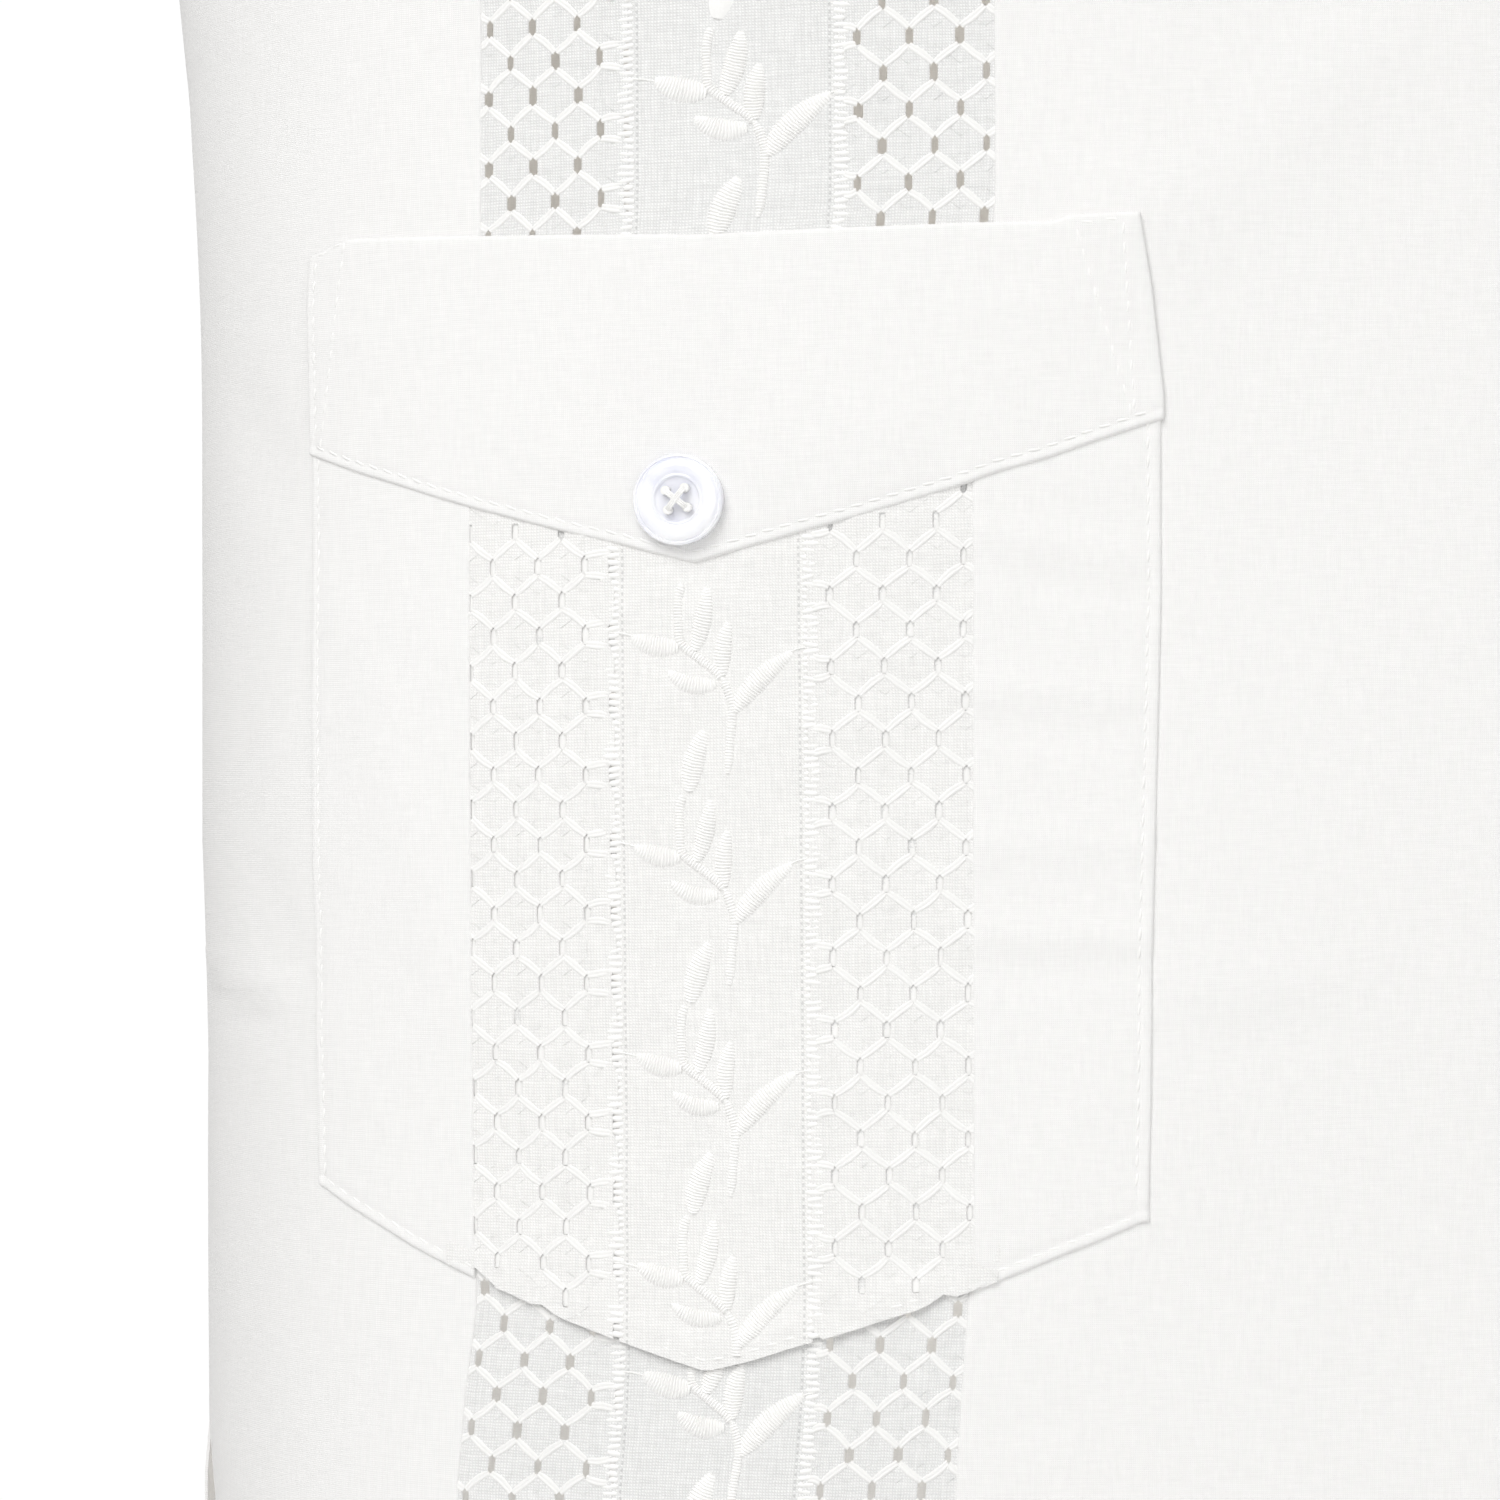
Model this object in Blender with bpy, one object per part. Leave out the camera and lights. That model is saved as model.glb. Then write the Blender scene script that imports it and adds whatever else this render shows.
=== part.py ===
"""Guayabera shirt, worn form with nobody in it: cut and sewn pieces as closed thin solids.

Metres.  +Z up, the front faces -Y, the wearer's right is -X.
Origin: centre of the neck at the height of the neck-to-shoulder points.
Every cloth piece lies on one garment surface, reached by
  u      level distance from centre front round the body, signed (- is the wearer's right)
  level  height of the ring at centre front
"""
import bpy
import numpy as np

WALL = 0.0012            # cloth wall of the body pieces
LAY = 0.0003             # air between a piece and what is sewn on it
SEAM = 0.00015           # half of the gap left at a seam
OVER_WALL = 0.0011       # wall of pieces that lie on the body

HEM = -0.735             # straight hem
VENT_TOP = -0.668        # side seams end here, open below
UNDERARM = -0.250
NECK = -0.075            # centre front neck
YOKE_BACK = -0.125       # back yoke seam

STRIP_IN = 0.0875        # inset strip, edge toward the buttons
STRIP_MID = 0.1205
STRIP_OUT = 0.1525       # inset strip, edge toward the side
PLACKET_HALF = 0.016

# one row per ring: level, z at the side, z at the back, half width,
# depth of the front, depth of the back, roundness
RING_COLUMNS = ("level", "z_side", "z_back", "half_width", "front", "back", "round")
RINGS = (
    (-0.760, -0.760, -0.760, 0.1842, 0.079, 0.104, 2.70),
    (-0.735, -0.735, -0.735, 0.1844, 0.079, 0.104, 2.70),
    (-0.680, -0.680, -0.680, 0.1852, 0.079, 0.104, 2.70),
    (-0.600, -0.600, -0.600, 0.1862, 0.079, 0.103, 2.70),
    (-0.540, -0.540, -0.540, 0.1864, 0.079, 0.101, 2.70),
    (-0.500, -0.500, -0.500, 0.1880, 0.080, 0.099, 2.66),
    (-0.430, -0.430, -0.430, 0.1915, 0.086, 0.098, 2.55),
    (-0.350, -0.350, -0.350, 0.1955, 0.098, 0.102, 2.45),
    (-0.250, -0.250, -0.250, 0.2000, 0.108, 0.110, 2.40),
    (-0.190, -0.190, -0.190, 0.2020, 0.108, 0.112, 2.40),
    (-0.140, -0.125, -0.140, 0.2080, 0.101, 0.109, 2.35),
    (-0.125, -0.090, -0.125, 0.2130, 0.097, 0.106, 2.30),
    (-0.105, -0.055, -0.085, 0.2180, 0.090, 0.098, 2.20),
    (-0.090, -0.022, -0.045, 0.1450, 0.080, 0.083, 2.10),
    (-0.075, 0.0000, -0.010, 0.0700, 0.069, 0.066, 2.00),
    (-0.065, 0.0150, 0.0060, 0.0560, 0.060, 0.058, 2.00),
)
SEAM_TURN = np.radians(95.0)      # side seam, just behind the widest point

# armhole edge: level and the ring angle of its front and back edge
ARMHOLE_COLUMNS = ("level", "front_turn", "back_turn")
ARMHOLE = (
    (-0.250, 95.0, 95.0),
    (-0.243, 84.0, 106.0),
    (-0.230, 76.0, 114.0),
    (-0.205, 69.5, 119.0),
    (-0.170, 66.5, 120.5),
    (-0.140, 67.5, 118.5),
    (-0.125, 69.0, 116.0),
    (-0.112, 74.0, 110.0),
    (-0.105, 90.0, 90.0),
)
YOKE_FRONT_ARM = (69.0, -0.125)   # front yoke seam: ring angle and level at the armhole
YOKE_FRONT_NECK = 65.0            # and the ring angle where it reaches the neck


def column(table, names, name):
    return np.array([row[names.index(name)] for row in table])


def smooth_table(levels, values):
    """Catmull-Rom through the rows, sampled every millimetre."""
    at = np.arange(levels[0], levels[-1] + 1e-9, 0.001)
    slope = np.gradient(values, levels)
    k = np.clip(np.searchsorted(levels, at, side="right") - 1, 0, len(levels) - 2)
    span = levels[k + 1] - levels[k]
    f = (at - levels[k]) / span
    a = 2 * f**3 - 3 * f**2 + 1
    b = f**3 - 2 * f**2 + f
    c = 3 * f**2 - 2 * f**3
    d = f**3 - f**2
    return at, a * values[k] + b * span * slope[k] + c * values[k + 1] + d * span * slope[k + 1]


RING_LEVELS = column(RINGS, RING_COLUMNS, "level")
SMOOTH = {}
for ring_name in RING_COLUMNS[1:]:
    LEVELS, SMOOTH[ring_name] = smooth_table(RING_LEVELS, column(RINGS, RING_COLUMNS, ring_name))


def drape(turn, level):
    """Soft folds of the hanging cloth, moved straight out from the axis."""
    low = np.clip((-0.30 - level) / 0.42, 0.0, 1.0)
    side = np.sin(turn) ** 2
    back = np.clip(-np.cos(turn), 0.0, 1.0)
    wave = 0.0030 * low**2 * back * np.cos(4.0 * turn)
    wave = wave + 0.0022 * side * np.sin((level + 0.36) * 34.0) * np.exp(-((level + 0.37) / 0.09) ** 2)
    wave = wave + 0.0030 * back * np.sin((level + 0.40) * 40.0) * np.exp(-((level + 0.42) / 0.07) ** 2)
    return wave


def on_ring(turn, level):
    """Point of the garment surface at a ring angle (0 front, pi back, signed) and level."""
    sign = np.sign(turn)
    t = np.abs(turn)
    value = {name: np.interp(level, LEVELS, SMOOTH[name]) for name in SMOOTH}
    power = 2.0 / value["round"]
    c = np.cos(t)
    s = np.sin(t)
    ahead = np.abs(c) ** power
    depth = np.where(c > 0, value["front"], value["back"])
    lift = np.abs(c) ** 1.5
    z_far = np.where(c > 0, level, value["z_back"])
    z = value["z_side"] + (z_far - value["z_side"]) * lift
    swell = 1.0 + drape(t, level) / 0.12
    x = value["half_width"] * np.abs(s) ** power * swell
    y = -np.sign(c) * depth * ahead * swell
    return np.stack([sign * x, y, z], axis=-1)


TURNS = np.concatenate([np.linspace(0, np.pi, 541) ** 1.0])
U_STEP = 0.002
U_GRID = np.arange(0.0, 0.70, U_STEP)


def turn_table():
    rows = []
    half = []
    for level in LEVELS:
        p = on_ring(TURNS, np.full_like(TURNS, level))
        run = np.concatenate([[0.0], np.cumsum(np.linalg.norm(np.diff(p[:, :2], axis=0), axis=1))])
        rows.append(np.interp(U_GRID, run, TURNS))
        half.append(run[-1])
    return np.array(rows), np.array(half)


TURN_TABLE, HALF_GIRTH = turn_table()


def turn_of(u, level):
    """Ring angle at a distance u from centre front."""
    sign = np.sign(u)
    j = np.clip(np.abs(u) / U_STEP, 0, len(U_GRID) - 1.001)
    k = np.clip((level - LEVELS[0]) / 0.001, 0, len(LEVELS) - 1.001)
    j0 = j.astype(int)
    k0 = k.astype(int)
    fj = j - j0
    fk = k - k0
    low = TURN_TABLE[k0, j0] * (1 - fj) + TURN_TABLE[k0, j0 + 1] * fj
    high = TURN_TABLE[k0 + 1, j0] * (1 - fj) + TURN_TABLE[k0 + 1, j0 + 1] * fj
    return sign * (low * (1 - fk) + high * fk)


def u_of(turn, level):
    """Distance from centre front at a ring angle (one pair at a time)."""
    k = int(round((level - LEVELS[0]) / 0.001))
    k = min(max(k, 0), len(LEVELS) - 1)
    return float(np.interp(turn, TURN_TABLE[k], U_GRID))


def surface(u, level, out=0.0):
    """Points of the garment surface at (u, level), moved out along the normal."""
    u = np.asarray(u, float)
    level = np.asarray(level, float) + 0.0 * u
    turn = turn_of(u, level)
    point = on_ring(turn, level)
    dt = 0.02
    dl = 0.003
    side = np.where(u < 0, -1.0, 1.0)
    near = np.where(np.abs(turn) < dt, side * dt, turn)
    along = on_ring(near + dt, level) - on_ring(near - dt * 0.999, level)
    up = on_ring(turn, level + dl) - on_ring(turn, level - dl)
    normal = np.cross(along, up)
    normal = normal / np.linalg.norm(normal, axis=-1, keepdims=True)
    return point + normal * np.asarray(out)[..., None], normal


def armhole_turn(level, edge):
    levels = column(ARMHOLE, ARMHOLE_COLUMNS, "level")
    turns = column(ARMHOLE, ARMHOLE_COLUMNS, edge)
    return np.radians(np.interp(level, levels, turns))


def edge_u(level, edge):
    """Side seam below the arm, armhole edge above it."""
    if level < UNDERARM:
        return u_of(SEAM_TURN, level)
    return u_of(armhole_turn(level, edge), level)


def start_scene():
    for thing in list(bpy.data.objects):
        bpy.data.objects.remove(thing, do_unlink=True)
    shirt = bpy.data.collections.new("guayabera_shirt")
    bpy.context.scene.collection.children.link(shirt)
    return shirt


SHIRT = start_scene()


def cloth_material(name, colour, rough=0.85):
    material = bpy.data.materials.new("mat_" + name)
    material.use_nodes = True
    shader = material.node_tree.nodes["Principled BSDF"]
    shader.inputs["Base Color"].default_value = (*colour, 1.0)
    shader.inputs["Roughness"].default_value = rough
    return material


def add_mesh(name, points, faces, colour, rough=0.85):
    mesh = bpy.data.meshes.new(name)
    mesh.from_pydata([tuple(float(c) for c in p) for p in points], [], faces)
    mesh.validate()
    mesh.update()
    piece = bpy.data.objects.new(name, mesh)
    SHIRT.objects.link(piece)
    mesh.materials.append(cloth_material(name, colour, rough))
    return piece


def sheet(name, outer, inner, colour, ring=False):
    """Closed solid between an outer and an inner grid of points; ring joins the two ends."""
    rows, cols = outer.shape[:2]
    points = np.concatenate([outer.reshape(-1, 3), inner.reshape(-1, 3)])
    base = rows * cols
    faces = []
    spans = cols if ring else cols - 1
    for r in range(rows - 1):
        for c in range(spans):
            d = (c + 1) % cols
            a, b = r * cols + c, r * cols + d
            e, f = (r + 1) * cols + d, (r + 1) * cols + c
            faces.append((a, b, e, f))
            faces.append((base + a, base + f, base + e, base + b))
    for c in range(spans):
        d = (c + 1) % cols
        faces.append((c, base + c, base + d, d))
        top = (rows - 1) * cols
        faces.append((top + c, top + d, base + top + d, base + top + c))
    if not ring:
        for r in range(rows - 1):
            a, b = r * cols, (r + 1) * cols
            faces.append((a, b, base + b, base + a))
            a, b = a + cols - 1, b + cols - 1
            faces.append((a, base + a, base + b, b))
    piece = add_mesh(name, points, faces, colour)
    volume = signed_volume(points, faces)
    if volume < 0:
        piece.data.flip_normals()
    return piece


def signed_volume(points, faces):
    total = 0.0
    for face in faces:
        p = [points[i] for i in face]
        for k in range(1, len(p) - 1):
            total += float(np.dot(p[0], np.cross(p[k], p[k + 1])))
    return total


def body_piece(name, u, level, colour, out=0.0, wall=WALL):
    """Closed cloth piece over grids of u and level."""
    outer, normal = surface(u, level, out)
    inner = outer - normal * wall
    return sheet(name, outer, inner, colour)


POPLIN = (0.93, 0.93, 0.92)
BATISTE = (0.88, 0.88, 0.87)
PEARL = (0.86, 0.87, 0.90)

FRONT_LEVELS = np.array([
    HEM, -0.713, -0.6905, VENT_TOP, -0.6457, -0.6235, -0.6015, -0.5795, -0.5575, -0.5355,
    -0.5135, -0.489, -0.464, -0.439, -0.413, -0.387, -0.361, -0.335, -0.309, -0.283,
    -0.262, -0.250, -0.243, -0.230, -0.205, -0.170, -0.140, -0.125])


def yoke_seam(f):
    """Front yoke seam as (u, level): f = 0 at the armhole, 1 at the neck."""
    u_arm = u_of(np.radians(YOKE_FRONT_ARM[0]), YOKE_FRONT_ARM[1])
    u_neck = u_of(np.radians(YOKE_FRONT_NECK), NECK)
    return u_arm + (u_neck - u_arm) * f, YOKE_FRONT_ARM[1] + (NECK - YOKE_FRONT_ARM[1]) * f


def seam_level(u):
    """Level at which the front yoke seam crosses a given u."""
    u0, l0 = yoke_seam(0.0)
    u1, l1 = yoke_seam(1.0)
    f = (u0 - u) / (u0 - u1)
    return l0 + (l1 - l0) * f


def lerp_rows(left, right, fractions):
    """Grid of (u, level) between two matching edge lists."""
    left = np.array(left)
    right = np.array(right)
    f = np.asarray(fractions)[None, :, None]
    grid = left[:, None, :] * (1 - f) + right[:, None, :] * f
    return grid[..., 0], grid[..., 1]


def signed(u, side):
    return u * side


STRIP_COLUMNS = np.array([STRIP_IN, 0.1035, STRIP_MID, 0.1365, STRIP_OUT])
POCKET_IN = 0.0635
POCKET_OUT = 0.1775
SIDE_INNER = np.array([STRIP_OUT, 0.165, POCKET_OUT])
SIDE_SPREAD = np.array([0.0, 0.22, 0.44, 0.60, 0.74, 0.88, 1.0])    # used on the yoke seam


def seam_share(u):
    """Share of the way along the front yoke seam at a given u."""
    u0 = yoke_seam(0.0)[0]
    u1 = yoke_seam(1.0)[0]
    return (u0 - u) / (u0 - u1)


SIDE_SEAM = seam_share(STRIP_OUT) * (1.0 - SIDE_SPREAD)[::-1]
STRIP_SEAM = seam_share(STRIP_COLUMNS[::-1])
CENTRE_SEAM = seam_share(STRIP_IN) + (1.0 - seam_share(STRIP_IN)) * np.array([0.0, 0.5, 1.0])
YOKE_SHARES = np.concatenate([SIDE_SEAM, STRIP_SEAM[1:], CENTRE_SEAM[1:]])


def strip_panel(name, side):
    top_in = seam_level(STRIP_IN) - 0.0002
    top_out = seam_level(STRIP_OUT) - 0.0002
    columns = STRIP_COLUMNS.copy()
    columns[0] += SEAM
    columns[-1] -= SEAM
    base = FRONT_LEVELS[:-1]
    grid_u = []
    grid_l = []
    for lev in base:
        grid_u.append(columns)
        grid_l.append(np.full(5, lev))
    grid_u.append(columns)
    grid_l.append(np.interp(columns, [STRIP_IN, STRIP_OUT], [top_in, top_out]))
    u = np.array(grid_u)
    level = np.array(grid_l)
    return body_piece(name, signed(u, side), level, BATISTE)


def centre_columns(side, edge):
    """Columns of a centre panel whose far edge is at the given u."""
    first = [-0.0145, 0.0030, 0.0165] if side < 0 else [0.0163]
    reach = (edge - 0.0165) / (STRIP_IN - SEAM - 0.0165)
    rest = [0.0165 + (u - 0.0165) * reach for u in (0.040, POCKET_IN, STRIP_IN - SEAM)]
    return np.array(first + rest)


def centre_panel(name, side):
    """From the buttoned edge to the strip; the top is the neck edge and a bit of yoke seam."""
    top = seam_level(STRIP_IN)
    count = 6 if side < 0 else 4
    grid_u = [centre_columns(side, STRIP_IN - SEAM) for _ in FRONT_LEVELS[:-1]]
    grid_l = [np.full(count, lev) for lev in FRONT_LEVELS[:-1]]
    last = len(CENTRE_SEAM) - 1
    for k, f in enumerate(CENTRE_SEAM):
        u, lev = yoke_seam(f)
        edge = u - (SEAM if k == 0 else 0.0002)
        front = (top - 0.006) + (NECK - top + 0.006) * k / last
        columns = centre_columns(side, edge)
        share = np.clip((columns - 0.0165) / (edge - 0.0165), 0, 1)
        low = lev - 0.0003 * (k < last)
        grid_u.append(columns)
        grid_l.append(front + (low - front) * share)
    u = np.array(grid_u)
    return body_piece(name, signed(u, side), np.array(grid_l), POPLIN)


def side_panel(name, side):
    """From the strip to the side seam and armhole; the top is the outer bit of yoke seam."""
    grid_u = []
    grid_l = []
    for lev in FRONT_LEVELS[:-1]:
        edge = edge_u(lev, "front_turn") - SEAM
        outer = POCKET_OUT + (edge - POCKET_OUT) * np.array([0.25, 0.5, 0.75, 1.0])
        grid_u.append(np.concatenate([SIDE_INNER + np.array([SEAM, 0, 0]), outer]))
        grid_l.append(np.full(7, lev))
    seam = [yoke_seam(f) for f in SIDE_SEAM[::-1]]
    us = np.array([u for u, lev in seam])
    us[0] += SEAM
    grid_u.append(us - 0.0002 * (np.arange(7) > 0))
    grid_l.append(np.array([lev for u, lev in seam]) - 0.0003)
    return body_piece(name, signed(np.array(grid_u), side), np.array(grid_l), POPLIN)


def build_fronts():
    for side, word in ((-1, "right"), (1, "left")):
        centre_panel("front_" + word + "_centre", side)
        strip_panel("front_" + word + "_strip", side)
        side_panel("front_" + word + "_side", side)


def build_back():
    """One back piece from side seam to side seam, up to the yoke; it flares at the vents."""
    levels = np.array([lev for lev in FRONT_LEVELS if lev < YOKE_BACK - 0.004] + [YOKE_BACK - 0.0003])
    levels = np.sort(np.unique(np.concatenate([levels, [-0.187, -0.155]])))
    f = np.linspace(0.0, 1.0, 11)
    ease = f + 0.10 * np.sin(2 * np.pi * f) * -0.5
    grid_u = []
    out = []
    for lev in levels:
        edge = edge_u(lev, "back_turn") + 2 * SEAM if lev < UNDERARM else edge_u(lev, "back_turn") + SEAM
        half = float(np.interp(lev, LEVELS, HALF_GIRTH))
        run = edge + (half - edge) * ease
        grid_u.append(np.concatenate([-run, run[:-1][::-1]]))
        flare = 0.0065 * np.clip((VENT_TOP - lev) / (VENT_TOP - HEM), 0, 1)
        fade = np.clip(1.0 - (run - edge) / 0.10, 0, 1)
        out.append(np.concatenate([flare * fade, (flare * fade)[:-1][::-1]]))
    u = np.array(grid_u)
    level = np.repeat(levels[:, None], u.shape[1], axis=1)
    return body_piece("back", u, level, POPLIN, out=np.array(out))


def yoke_outline():
    """Outer edge of the right half of the yoke as (ring angle, level), front seam to centre back."""
    out = [(np.radians(YOKE_FRONT_ARM[0]), YOKE_FRONT_ARM[1]), (np.radians(74.0), -0.112)]
    out += [(np.radians(90.0), -0.105), (np.radians(110.0), -0.112), (np.radians(116.0), YOKE_BACK)]
    for t in (126.0, 137.0, 148.0, 159.0, 170.0, 180.0):
        out.append((np.radians(t), YOKE_BACK))
    return out


YOKE_NECK_TURNS = (65.0, 78.0, 92.0, 108.0, 122.0, 132.0, 142.0, 151.5, 161.0, 170.5, 180.0)


def build_yoke():
    """Wide band over both shoulders, from the front seams to the back seam."""
    outline = yoke_outline()
    turn = np.zeros((len(YOKE_SHARES), len(outline)))
    level = np.zeros_like(turn)
    for r, f in enumerate(YOKE_SHARES):
        u, lev = yoke_seam(f)
        turn[r, 0] = turn_of(np.array(u), np.array(lev))
        level[r, 0] = lev
        for c in range(1, len(outline)):
            t0, l0 = outline[c]
            turn[r, c] = t0 + (np.radians(YOKE_NECK_TURNS[c]) - t0) * f
            level[r, c] = l0 + (NECK - l0) * f
    level[-1, 0] = NECK
    full_turn = np.concatenate([-turn, turn[:, :-1][:, ::-1]], axis=1)
    full_level = np.concatenate([level, level[:, :-1][:, ::-1]], axis=1)
    outer, normal = by_turn(full_turn, full_level)
    for edge, next_in in ((0, 1), (-1, -2)):
        inward = outer[:, next_in] - outer[:, edge]
        outer[:, edge] += 0.0004 * inward / np.linalg.norm(inward, axis=-1, keepdims=True)
    return sheet("yoke", outer, outer - normal * WALL, POPLIN)


def by_turn(turn, level, out=0.0):
    """Like surface(), for ring angles; columns past the back run on in sign."""
    point = on_ring(turn, level)
    dt = 0.02
    dl = 0.003
    safe = np.sign(turn) * np.minimum(np.abs(turn), np.pi - dt)
    along = on_ring(safe + dt, level) - on_ring(safe - dt, level)
    up = on_ring(turn, level + dl) - on_ring(turn, level - dl)
    normal = np.cross(along, up)
    normal = normal / np.linalg.norm(normal, axis=-1, keepdims=True)
    back = np.abs(turn) > np.pi - 1e-6
    normal[back, 0] = 0.0
    return point + normal * np.asarray(out)[..., None], normal


def build_placket():
    """Buttoned band, sewn to the wearer's left front and lying over the right one."""
    columns = np.array([-0.0160, 0.0, 0.0145, 0.0190])
    levels = np.concatenate([FRONT_LEVELS[:-1], [seam_level(STRIP_IN) - 0.006, -0.0790]])
    levels[0] += 0.0
    u = np.tile(columns, (len(levels), 1))
    level = np.repeat(levels[:, None], len(columns), axis=1)
    return body_piece("placket", u, level, POPLIN, out=0.00155, wall=0.0011)


# armhole as the pieces round it have it: front edge upward, over the tip, back edge downward
SLEEVE_FRONT_LEVELS = (-0.250, -0.243, -0.230, -0.205, -0.170, -0.140, -0.125)
SLEEVE_BACK_LEVELS = (-0.140, -0.155, -0.170, -0.187, -0.205, -0.230, -0.243)
SLEEVE_CENTRE = np.array([0.322, -0.006, -0.282])
SLEEVE_AXIS = np.array([0.500, -0.030, -0.866])
SLEEVE_UP = np.array([0.866, 0.0, 0.500])
SLEEVE_HALF_UP = 0.058
SLEEVE_HALF_DEEP = 0.064


def armhole_ring():
    ring = [(armhole_turn(lev, "front_turn"), lev) for lev in SLEEVE_FRONT_LEVELS]
    ring += yoke_outline()[1:4]
    ring.append((np.radians(116.0), YOKE_BACK))
    ring += [(armhole_turn(lev, "back_turn"), lev) for lev in SLEEVE_BACK_LEVELS]
    turn = np.array([float(t) for t, lev in ring])
    level = np.array([lev for t, lev in ring])
    return on_ring(turn, level)


def sleeve_turns(start):
    """Angle on the sleeve hem for each armhole point: pi under the arm, 0 on top."""
    tip = 8
    front = np.linalg.norm(np.diff(start[:tip + 1], axis=0), axis=1)
    closed = np.concatenate([start[tip:], start[:1]])
    back = np.linalg.norm(np.diff(closed, axis=0), axis=1)
    a = np.concatenate([[0.0], np.cumsum(front)]) / front.sum()
    b = np.cumsum(back) / back.sum()
    return np.concatenate([np.pi * (1 - a), -np.pi * b[:-1]])


def sleeve_surface(shares):
    """Rows of points from the armhole to the sleeve hem, wearer's left."""
    start = armhole_ring()
    turns = sleeve_turns(start)
    rise = np.clip((start[:, 2] - start[0, 2]) / 0.19, 0, 1)
    leave = np.stack([np.ones_like(rise), 0 * rise, -0.10 - 0.42 * rise**2], axis=1)
    leave /= np.linalg.norm(leave, axis=1, keepdims=True)
    start = start + 0.00035 * np.stack([np.ones_like(rise), 0 * rise, 0.5 * (rise > 0.9)], axis=1)
    axis = SLEEVE_AXIS / np.linalg.norm(SLEEVE_AXIS)
    deep = np.cross(axis, SLEEVE_UP)
    around = SLEEVE_HALF_UP * np.cos(turns)[:, None] * SLEEVE_UP
    around = around + SLEEVE_HALF_DEEP * np.sin(turns)[:, None] * np.array([0.0, -1.0, 0.0])
    end = SLEEVE_CENTRE + around
    reach = 0.030 + 0.045 * rise
    back = 0.045 + 0.045 * rise
    rows = []
    for f in shares:
        a, b, c, d = (1 - f)**3, 3 * f * (1 - f)**2, 3 * f**2 * (1 - f), f**3
        one = start + leave * reach[:, None]
        two = end - axis * back[:, None]
        rows.append(a * start + b * one + c * two + d * end)
    return np.array(rows)


def grid_normals(points, ring):
    """Normals of a grid of points, by central differences."""
    if ring:
        across = np.roll(points, -1, axis=1) - np.roll(points, 1, axis=1)
    else:
        across = np.gradient(points, axis=1)
    along = np.gradient(points, axis=0)
    normal = np.cross(across, along)
    return normal / np.linalg.norm(normal, axis=-1, keepdims=True)


def build_sleeves():
    shares = (0.0, 0.12, 0.25, 0.39, 0.54, 0.69, 0.84, 1.0)
    left = sleeve_surface(shares)
    normal = grid_normals(left, True)
    centre = left.mean(axis=1, keepdims=True)
    if ((left - centre) * normal).sum() < 0:
        normal = -normal
    inner = left - normal * WALL
    mirror = np.array([-1.0, 1.0, 1.0])
    sheet("sleeve_left", left, inner, POPLIN, ring=True)
    sheet("sleeve_right", left * mirror, inner * mirror, POPLIN, ring=True)


STAND_WALL = 0.0018


def neck_steps():
    """Angles running round the neck, one for each corner of the pieces below it."""
    seam_u = yoke_seam(1.0)[0] - 0.0002
    right = np.degrees(turn_of(centre_columns(-1, seam_u), np.full(6, NECK)))
    left = np.degrees(turn_of(centre_columns(1, seam_u), np.full(4, NECK)))
    round_back = np.array(YOKE_NECK_TURNS)[1:]
    steps = [-right, -round_back, round_back[:-1][::-1] - 360.0, left[::-1] - 360.0, [-357.5, -373.0]]
    return np.radians(np.concatenate(steps))


def neck_frame(step):
    """Neck edge point, outward direction and side of the over-lap, for an angle running round."""
    turn = (step + np.pi) % (2 * np.pi) - np.pi
    point = on_ring(turn, np.full_like(turn, NECK))
    ahead = on_ring(turn + 0.03, np.full_like(turn, NECK)) - on_ring(turn - 0.03, np.full_like(turn, NECK))
    outward = np.stack([ahead[:, 1], -ahead[:, 0], 0 * turn], axis=-1)
    outward /= np.linalg.norm(outward, axis=-1, keepdims=True)
    over = 0.0023 * np.clip((-np.degrees(step) - 305.0) / 38.0, 0, 1)
    return turn, point, outward, over


def stand_height(turn):
    return 0.0270 + 0.0055 * np.clip(-np.cos(turn), 0, 1) - 0.0015 * np.sin(turn)**2


def build_stand():
    """Collar stand: upright band on the neck edge, its ends lapped at the front."""
    turn, point, outward, over = neck_frame(neck_steps())
    rows = []
    for share in (0.0, 0.5, 1.0):
        up = stand_height(turn) * share
        lean = 0.14 * up
        out = over - lean
        lift = 0.0004 + 0.4 * over + up
        rows.append(point + outward * out[:, None] + np.array([0, 0, 1.0]) * lift[:, None])
    outer = np.array(rows)
    inner = outer - outward[None] * STAND_WALL
    return sheet("collar_stand", outer, inner, POPLIN)


# outer edge of the turned-down collar on the shirt: angle round the neck of the fold,
# ring angle and level of the edge below it
COLLAR_COLUMNS = ("fold", "edge_turn", "edge_level")
COLLAR_EDGE = (
    (2.5, 11.5, -0.1030),
    (12.0, 17.5, -0.0985),
    (25.0, 25.0, -0.0930),
    (38.0, 35.0, -0.0875),
    (52.0, 48.5, -0.0830),
    (70.0, 69.0, -0.0803),
    (90.0, 90.0, -0.0795),
    (110.0, 111.0, -0.0795),
    (135.0, 136.0, -0.0795),
    (158.0, 158.5, -0.0793),
    (180.0, 180.0, -0.0792),
)
COLLAR_WALL = 0.0015
COLLAR_OFF = 0.0052


def collar_steps():
    return neck_steps()[1:-1]


def collar_edge(turn):
    """Edge of the collar below each fold angle."""
    fold = column(COLLAR_EDGE, COLLAR_COLUMNS, "fold")
    where = np.abs(np.degrees(turn))
    edge_turn = np.interp(where, fold, column(COLLAR_EDGE, COLLAR_COLUMNS, "edge_turn"))
    level = np.interp(where, fold, column(COLLAR_EDGE, COLLAR_COLUMNS, "edge_level"))
    return by_turn(np.sign(turn) * np.radians(edge_turn), level, out=COLLAR_OFF)[0]


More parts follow.
